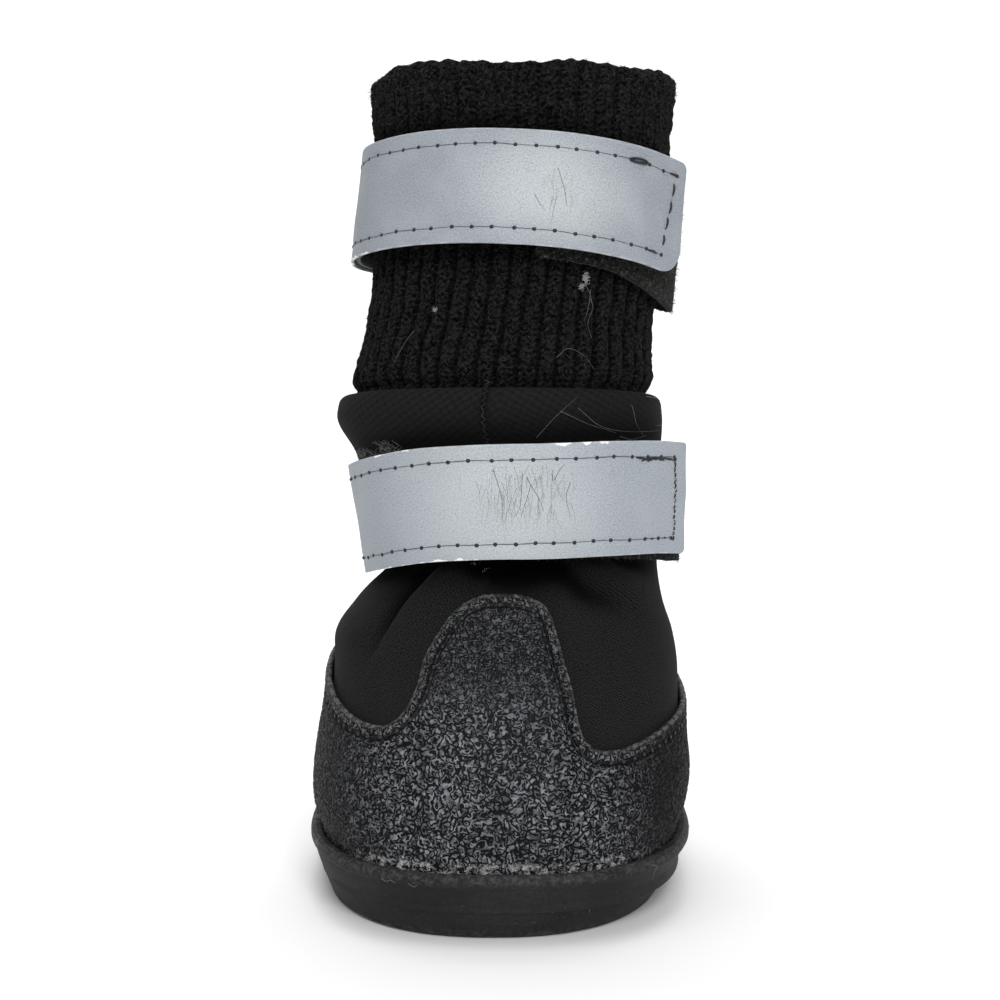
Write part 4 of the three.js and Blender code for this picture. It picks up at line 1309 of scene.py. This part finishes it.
faces = {name: strap_face(band, seed) for name, (band, corners, seed) in straps.items()}
knot = knot_model(0.8, 0.45)
rng = random.Random(11)
for name, (band, corners, seed) in straps.items():
    face = faces[name]
    rows = strap_seam(along_band(band)[1][-1], *((2.2, 5.4) if name == "cuff" else (3.8, 4.4)))
    rows = [[(a + rng.uniform(-0.2, 0.2), c + rng.uniform(-0.13, 0.13)) for a, c in row] for row in rows]
    frames = [axes_at(face, *hole) for row in rows for hole in row]
    copies(f"knots_of_{name}_strap", knot, frames, black_thread)
    threads = []
    for row in rows:
        for (a, c), (b, d) in zip(row, row[1:]):
            share = np.linspace(0, 1, 5)
            lift = rng.uniform(-0.06, 0.02) + 0.09 * np.sin(np.pi * share)
            threads.append(face(a + (b - a) * share, c + (d - c) * share, lift))
    strands(f"thread_of_{name}_strap", threads, 0.07, worn_thread, 1)
    print(f"{name} strap: {len(frames)} holes")

# %% [markdown]
# The free ends are sewn across with heavier stitches, and each is a little different, as in the
# photograph: five clear dashes and a loose loop on the cuff's strap, and a crowded, frayed line with a
# knot of going back and forth at its top on the ankle's.

# %% Sew the ends
cuff_end = [
    (4.4, 7.25, 2.1, 7.2), (3.1, 5.8, 3.3, 3.5), (3.6, 2.4, 3.9, 0.3), (4.2, -0.5, 4.6, -2.7),
    (4.9, -3.8, 5.1, -5.6), (8.6, -7.35, 6.2, -7.3),
]
loop_share = np.linspace(0, 2 * np.pi, 26)
loop = faces["cuff"](
    11.8 + 1.8 * np.cos(loop_share), 7.35 + 0.36 * np.sin(loop_share) - 0.1 * np.cos(loop_share),
    0.1 + 0.22 * np.sin(loop_share / 2) ** 2)
paths = dashes(faces["cuff"], cuff_end, rng, 0.16) + [loop]
strands("end_thread_of_cuff_strap", paths, 0.19, black_thread, 2)
line = strap_width / 2 - stitch_inset
steps = np.arange(line, -line, -0.95)
ankle_end = [(3.6, c, 3.75, c - 0.75) for c in steps]
ankle_end += [(a, line - 0.4, a - 1.3, line - 0.55) for a in np.arange(13.5, 4.0, -0.8)]
ankle_end += [(a, line - 0.75, a - 1.1, line - 0.35) for a in np.arange(12.5, 8.0, -0.9)]
ankle_end += [(a, -line + 0.05, a - 0.7, -line) for a in np.arange(11.5, 4.0, -1.7)]
paths = dashes(faces["ankle"], ankle_end, rng, 0.13, 0.22)
strands("end_thread_of_ankle_strap", paths, 0.15, black_thread, 1)
flecks = [(3.5, c, 3.95, c - 0.5) for c in steps[2::2]]
paths = dashes(faces["ankle"], flecks, rng, 0.14, 0.2)
cuff_dashes = [(3.4, 3.2, 3.6, 2.4), (4.0, 0.2, 4.2, -0.6), (4.8, -1.4, 5.0, -2.9)]
paths += dashes(faces["cuff"], cuff_dashes, rng, 0.14)
strands("pale_thread_ends", paths, 0.09, white_lint, 1)
for name in straps:
    length = along_band(straps[name][0])[1][-1]
    back = [(length - 1.6, c, length - 1.6, c - 1.6) for c in np.arange(line, -line, -2.6)]
    paths = dashes(faces[name], back, rng, 0.12, 0.1)
    strands(f"back_thread_of_{name}_strap", paths, 0.15, black_thread, 1)

# %% [markdown]
# The silver film has been scratched by grass and claws: thin dark lines, mostly across the strap, in
# the places where the photograph shows them, some yellowish and faint. Each is a hair-thin strand
# pressed into the film, because a scratch of a tenth of a millimetre is too sharp for a noise.

# %% Scratches on the silver film
def scratches(face, lines, out=0.02):
    paths = []
    for line in lines:
        along, across = smooth_path(line, 12).T
        paths.append(face(along, across, out))
    return paths


cuff_scratches = [
    [(26.7, 3.6), (26.0, 1.6), (25.3, -0.6), (25.0, -2.7)], [(26.7, -1.2), (27.1, -3.2), (27.6, -6.2)],
    [(27.3, -1.4), (27.9, -3.6)], [(30.6, -1.2), (29.7, -2.6), (28.8, -3.7)],
]
ankle_scratches = [
    [(39.0, 5.8), (38.4, 3.0), (38.0, 0.5), (38.2, -3.0)],
    [(34.3, 5.0), (34.6, 2.0), (35.1, -1.0), (36.2, -2.6)],
    [(33.6, 4.2), (32.6, 2.2), (31.6, 0.3), (31.0, -1.7)], [(29.2, 5.4), (29.5, 2.0), (29.8, -2.0)],
    [(26.2, 3.2), (27.0, 0.6), (26.3, -2.8)], [(33.0, 3.0), (33.8, 0.5), (34.9, -2.4)],
    [(31.8, 0.6), (31.9, -1.2)], [(37.6, 1.2), (37.9, -2.2)], [(29.0, 3.6), (27.9, 5.6), (27.2, 6.4)],
]
faint_scratches = []
for i in range(64):
    start, top = rng.gauss(34, 4.6), rng.uniform(-2.0, 6.5)
    length, lean = rng.uniform(1.0, 5.5), rng.gauss(0, 0.25)
    bend = rng.uniform(-0.3, 0.3)
    middle = (start + lean * length / 2 + bend, top - length / 2)
    faint_scratches.append([(start, top), middle, (start + lean * length, top - length)])
few = []
for i in range(16):
    start, top = rng.gauss(25.0, 3.5), rng.uniform(-4.0, 5.0)
    length, lean = rng.uniform(0.6, 2.2), rng.gauss(0.1, 0.4)
    few.append([(start, top), (start + lean * length, top - length)])
paths = scratches(faces["cuff"], cuff_scratches) + scratches(faces["ankle"], ankle_scratches)
strands("dark_scratches", paths, 0.045, dark_hair, 0, 0.5)
paths = scratches(faces["ankle"], faint_scratches, 0.0) + scratches(faces["cuff"], few, 0.0)
strands("dull_scratches", paths, 0.03, dull_scratch, 0, 0.4)
worn_arc = [
    [(6.2, 6.6), (4.0, 6.2), (1.9, 5.0), (0.5, 2.2)],
    [(53.9, -2.4), (52.9, -1.6), (52.1, -1.0)],
    [(14.5, 9.2), (8.0, 8.6), (2.2, 7.6)],
]
strands("pale_scratches", scratches(faces["cuff"], worn_arc), 0.075, white_lint, 0, 0.6)

# %% [markdown]
# At the front of the collar a seam runs down under the ankle strap, sewn with an overlock stitch, whose
# black thread goes to and fro across it. The rand is sewn down along its edge, and its needle holes
# show as small dark dents, which are more copies of the knot, flattened.

# %% Sew the collar and the rand
def zigzag(path, count, reach, out):
    """A thread that goes to and fro across a path on the upper."""
    turn, height = smooth_path(path, count).T
    uneven = np.array([rng.uniform(0.5, 1.3) for i in range(count)])
    sway = np.where(np.arange(count) % 2, reach, -reach) * uneven
    around = upper_point(height, turn + 1)
    wide = np.linalg.norm(around - upper_point(height, turn), axis=-1)
    return upper_point(height, turn + sway / wide, out)


collar_seam = [(-2.7, 88.2), (-3.3, 85.5), (-4.2, 81.5), (-5.0, 77.5)]
paths = [zigzag(collar_seam, 30, 0.5, -0.42), zigzag(collar_seam, 21, 0.36, -0.36)]
strands("collar_seam_thread", paths, 0.13, black_thread, 1)
back_seam = [(180, 86), (180, 70), (180, 48)]
strands("back_seam_thread", [zigzag(back_seam, 90, 0.45, -0.2)], 0.13, black_thread, 1)


def inside_rim(turn, inset, out):
    """A point on the rand, an inset from its edge along its surface, and the normal there."""
    height, turn, nudge = rand_top(turn), float(turn), 0.05
    here, normal = upper_point(height, turn), upper_point(height, turn, 1) - upper_point(height, turn)
    tangent = upper_point(rand_top(turn + 1), turn + 1) - upper_point(rand_top(turn - 1), turn - 1)
    inward = np.cross(tangent, normal)
    goal = inset * inward / np.linalg.norm(inward)
    by_turn = (upper_point(height, turn + nudge) - here) / nudge
    by_height = (upper_point(height + nudge, turn) - here) / nudge
    move = np.linalg.lstsq(np.stack([by_turn, by_height], 1), goal, rcond=None)[0]
    return upper_point(height + move[1], turn + move[0], rand_gap + rand_wall + out)


rand_stitch_pitch = 2.25
hole_turns = even_turns(rand_rim, round(edge_length / rand_stitch_pitch))[0]
frames, threads = [], []
for turn, following in zip(hole_turns, hole_turns[1:]):
    here = inside_rim(turn, rand_stitch_inset, 0.0)
    forward = inside_rim(following, rand_stitch_inset, 0.0) - here
    outward = inside_rim(turn, rand_stitch_inset, 1) - here
    forward, outward = forward / np.linalg.norm(forward), outward / np.linalg.norm(outward)
    frames.append((here, (forward, np.cross(outward, forward), outward)))
    ways = [inside_rim(turn + (following - turn) * share, rand_stitch_inset, -0.2) for share in (0, 0.5, 1)]
    threads.append(np.array(ways))
copies("rand_stitch_holes", knot_model(0.85, 0.4), frames, black_thread)
strands("rand_thread", threads, 0.1, black_thread, 1)
print(f"{len(frames)} stitches along the rand")

# %% [markdown]
# ## Fuzz, lint and hairs
# Worn knit and loop pile carry thousands of loose fibres. They give the cuff its soft outline, and no
# texture can. Each fibre is a short bent strand rooted on the real surface. The pale dog hairs, the lump
# of lint and the white dot lie where the photograph shows them.

# %% Fuzz
def fuzz(name, roots, outward, reach, radius, slot, finish, seed, stand=0.6):
    """Short bent fibres from these roots: stand says how steeply they rise."""
    chance = np.random.default_rng(seed)
    count = len(roots)
    share = np.linspace(0, 1, 4)[None, :, None]
    length = chance.uniform(*reach, (count, 1, 1)) * chance.uniform(0.5, 1, (count, 1, 1))
    aim = outward[:, None] * stand + chance.normal(0, 0.55, (count, 1, 3))
    curl = chance.normal(0, 0.3, (count, 1, 3)) * np.sin(np.pi * share)
    paths = roots[:, None] + length * (share * aim + curl)
    return strands(name, paths, radius, finish, 0, 0.5)


def cuff_roots(first, last, count, seed):
    chance = np.random.default_rng(seed)
    row = chance.integers(first, last, count)
    column = chance.integers(0, cuff_surface.shape[1], count)
    return cuff_surface[row, column], cuff_outward[row, column]


first_row = len(tucked)
rim_row = first_row + int(np.argmax(profile[first_row:, 0]))
rim_rows = round(3.2 / cuff_row_step)
fuzz("cuff_fuzz", *cuff_roots(first_row, rim_row, 4200, 21), (0.3, 0.9), 0.028, "rib_knit", black_fibre, 22)
pale_roots = cuff_roots(first_row, rim_row, 1500, 23)
fuzz("cuff_fuzz_pale", *pale_roots, (0.25, 0.8), 0.022, "rib_knit", grey_fibre, 24)
fuzz("rim_fuzz", *cuff_roots(rim_row - rim_rows, rim_row + 5, 2200, 25), (0.35, 1.1), 0.026,
     "rib_knit", black_fibre, 26, 0.5)
fuzz("rim_fuzz_pale", *cuff_roots(rim_row - rim_rows, rim_row + 5, 340, 27), (0.3, 1.0), 0.022,
     "rib_knit", grey_fibre, 28, 0.5)


def band_roots(band, along, across, out, count, seed):
    """Roots and outward steps at random places of a stretch of a band."""
    chance = np.random.default_rng(seed)
    a, c = chance.uniform(*along, count), chance.uniform(*across, count)
    here = on_band(band, a, c, out)
    return here, on_band(band, a, c, out + 1) - here


for name, band in (("ankle", ankle_tape), ("cuff", cuff_tape)):
    reach = along_band(band)[1][-1]
    roots = band_roots(band, (0, reach), (-10, 10), tape_wall - 0.15, 2600, 31)
    fuzz(f"pile_of_{name}_loop_tape", *roots, (0.4, 1.0), 0.035, "loop_tape", black_fibre, 32, 0.5)
    roots = band_roots(band, (0, reach), (-10, -9.7), tape_wall - 0.5, 420, 33)
    fuzz(f"edge_of_{name}_loop_tape", *roots, (0.4, 1.1), 0.03, "loop_tape", grey_fibre, 34, 0.4)
for name, (band, corners, seed) in straps.items():
    roots = band_roots(band, (4, 60), (-9.6, -9.3), 0.45, 330, 35)
    fuzz(f"hook_fuzz_of_{name}", *roots, (0.3, 1.0), 0.03, "reflective_tape", black_fibre, 36, 0.3)


# %% Hairs and lint
def lay(surface, path, count=26, out=0.25, wave=0.1):
    """A hair along a path of turn and height on the cuff or the upper."""
    turn, height = smooth_path(path, count).T
    share = np.linspace(0, 1, count)
    return surface(height, turn, out + wave * np.sin(9 * share) + 0.5 * np.abs(share - 0.5) ** 2)


collar_hairs = [
    [(7.6, 78.6), (13.9, 81.6), (22.6, 85.4)],
    [(22.9, 83.6), (31.3, 80.7), (45.8, 79.9), (70, 80.5)],
    [(16.6, 83), (26.4, 81), (37.8, 79.6)],
    [(58, 86.2), (72, 86.0), (80, 84), (76, 81.8), (65.3, 81.3)],
    [(40, 79.0), (47, 78.6), (56, 79.4)],
    [(47, 84.5), (50, 81.5), (54, 79.2)],
]
cuff_hairs = [
    [(-34.3, 97.2), (-38.1, 94.7), (-39.9, 91.9)],
    [(16.1, 92.3), (20.4, 93.9), (26.6, 92.9), (31.3, 90.4)],
    [(27.4, 102.8), (29.6, 101.0), (28.2, 98.4), (29.9, 95.8)],
    [(24.6, 105.0), (27.4, 103.6), (28.8, 101.8)],
    [(27.2, 104.2), (27.6, 100.8), (26.2, 98.8)],
]
paths = [lay(upper_point, hair) for hair in collar_hairs]
paths += [lay(cuff_point, hair, out=0.5) for hair in cuff_hairs]
strands("dog_hairs", paths, 0.033, pale_hair, 0, 0.4)


def tuft(centre, size, count, reach, rng):
    """Curled fibres in a small cloud."""
    paths = []
    for i in range(count):
        start = np.array([rng.gauss(0, 1) for axis in range(3)]) * size * 0.5
        aim = np.array([rng.gauss(0, 1) for axis in range(3)])
        turn = np.array([rng.gauss(0, 1) for axis in range(3)])
        share = np.linspace(0, 1, 7)[:, None]
        curl = np.sin(2.2 * np.pi * share) * turn * 0.22
        paths.append(centre + start + reach * rng.uniform(0.5, 1) * (share * aim * 0.6 + curl))
    return paths


paths = tuft(cuff_point(106.2, 24.4, 0.7), np.array([0.42, 0.25, 0.95]), 130, 0.5, rng)
paths += tuft(cuff_point(104.8, 23.4, 0.62), np.array([0.4, 0.22, 0.6]), 60, 0.5, rng)
strands("lint_on_cuff", paths, 0.028, white_lint, 0, 0.6)
paths = tuft(cuff_point(100.7, -26.8, 0.6), np.array([0.3, 0.25, 0.26]), 40, 0.45, rng)
for turn in (-16, -12):
    middle = upper_point(57.4 + rng.uniform(-0.5, 0.6), turn, -2.4)
    paths += tuft(middle, np.array([0.5, 0.3, 0.3]), 4, 0.45, rng)
strands("small_lint", paths, 0.022, white_lint, 0, 0.6)
paths = []
for turn in (-70, -68.5, -67, -63, -57, -55.5, -52, -48, -46, -44, -40, 34, 52, 60, 66, 70):
    for i in range(6):
        at, foot = turn + rng.uniform(-1.5, 1.5), 76.2 + 1.2 * (turn < -50) * -1 + rng.uniform(-0.6, 0.8)
        tip = [(at, foot), (at + rng.uniform(-2, 2), foot + 0.7), (at + rng.uniform(-4, 4), foot + 1.6)]
        paths.append(lay(upper_point, tip, 7, 0.6, 0.4))
strands("hairs_over_ankle_strap", paths, 0.035, pale_hair, 0, 0.5)


# %% Dust, hairs and nicks on the sole
def sole_face(rise, turn, out=0.05):
    """A point on the outside of the sole, a share of its height up."""
    step = row_at(sole_steps, "rise", np.clip(rise, 0, 0.97))
    inset = step["inset"] * lip_width - out
    return sole_point(np.asarray(rise) * sole_height, turn, inset, step["square"], step["shift"] * lip_width)


def on_sole(path, count=14):
    turn, rise = smooth_path(path, count).T
    return sole_face(rise, turn)


sole_hairs = [
    [(-30, 0.44), (-28, 0.5), (-24, 0.5), (-21, 0.45)],
    [(44, 0.93), (47, 0.86), (47.5, 0.72), (50, 0.6)],
    [(13, 0.42), (15, 0.47), (17, 0.42)],
    [(-30, 0.87), (-28.5, 0.83), (-27, 0.87), (-25.5, 0.83)],
    [(-21, 0.86), (-20, 0.8), (-18.4, 0.85)],
    [(25, 0.4), (26, 0.33)],
]
strands("sole_hairs", [on_sole(path) for path in sole_hairs], 0.05, pale_hair, 0, 0.6)
nicks = []
for i in range(70):
    turn, rise = rng.uniform(-85, 85), rng.choice((rng.uniform(0.1, 0.95), rng.uniform(0.84, 0.96)))
    step, climb = rng.uniform(0.3, 1.6), rng.uniform(-0.03, 0.03)
    nicks.append(on_sole([(turn, rise), (turn + step / 2, rise + climb), (turn + step, rise)], 5))
strands("sole_nicks", nicks, 0.035, grey_fibre, 0, 0.5)

# %% [markdown]
# ## Floor and light
# The boot stands on a pale floor that curves up into a wall, as in a small photo studio. Big soft
# lamps come from the front and from above, so the black cloth shows its folds without hard shadows.

# %% Studio
floor_size, wall_height, sweep_radius = 3.0, 2.2, 0.6
bpy.ops.object.select_all(action="DESELECT")
bpy.ops.mesh.primitive_plane_add(size=floor_size, location=(0, floor_size / 5, 0))
studio = bpy.context.object
studio.name = "studio_floor"
bpy.ops.object.transform_apply(location=True)
with editing(studio):
    bpy.ops.mesh.select_mode(type="EDGE")
    bpy.ops.mesh.select_all(action="DESELECT")
    bpy.ops.object.mode_set(mode="OBJECT")
    for edge in studio.data.edges:
        edge.select = all(studio.data.vertices[i].co.y > floor_size / 2 for i in edge.vertices)
    bpy.ops.object.mode_set(mode="EDIT")
    bpy.ops.mesh.extrude_region_move(TRANSFORM_OT_translate={"value": (0, 0, wall_height)})
    bpy.ops.mesh.select_mode(type="VERT")
apply_modifier(
    studio, "BEVEL", width=sweep_radius, segments=16, limit_method="ANGLE", angle_limit=np.radians(40))
pale, tree, shader, flat, solid = material("pale_floor", roughness=0.9, specular=0.1)
shader.inputs["Base Color"].default_value = (0.9, 0.9, 0.9, 1)
studio.data.materials.append(pale)
only(studio)
bpy.ops.object.shade_smooth()


def lamp(name, place, size, watts, target=(0, 0, look_at_height * MM)):
    """A square soft lamp that looks at the middle of the boot, or at another place."""
    bpy.ops.object.light_add(type="AREA", location=place)
    added = bpy.context.object
    added.name = name
    added.data.shape = "SQUARE"
    added.data.size = size
    added.data.energy = watts
    aim = Vector(target) - Vector(place)
    added.rotation_euler = aim.to_track_quat("-Z", "Y").to_euler()


lamp("front_lamp", (0.15, -1.0, 0.75), 0.5, 8.4)
lamp("top_lamp", (-0.1, -0.1, 1.3), 0.7, 3.8)
lamp("left_lamp", (-1.1, -0.4, 0.5), 0.6, 1.0)
lamp("right_lamp", (1.1, -0.3, 0.5), 0.6, 0.7)
lamp("backdrop_lamp", (0, 0.55, 1.25), 0.9, 22, (0, 2.0, 0.1))
world = bpy.data.worlds.new("studio_air")
bpy.context.scene.world = world
world.use_nodes = True
world.node_tree.nodes["Background"].inputs["Color"].default_value = (1, 1, 1, 1)
world.node_tree.nodes["Background"].inputs["Strength"].default_value = 0.42
bpy.context.scene.view_settings.view_transform = "Standard"
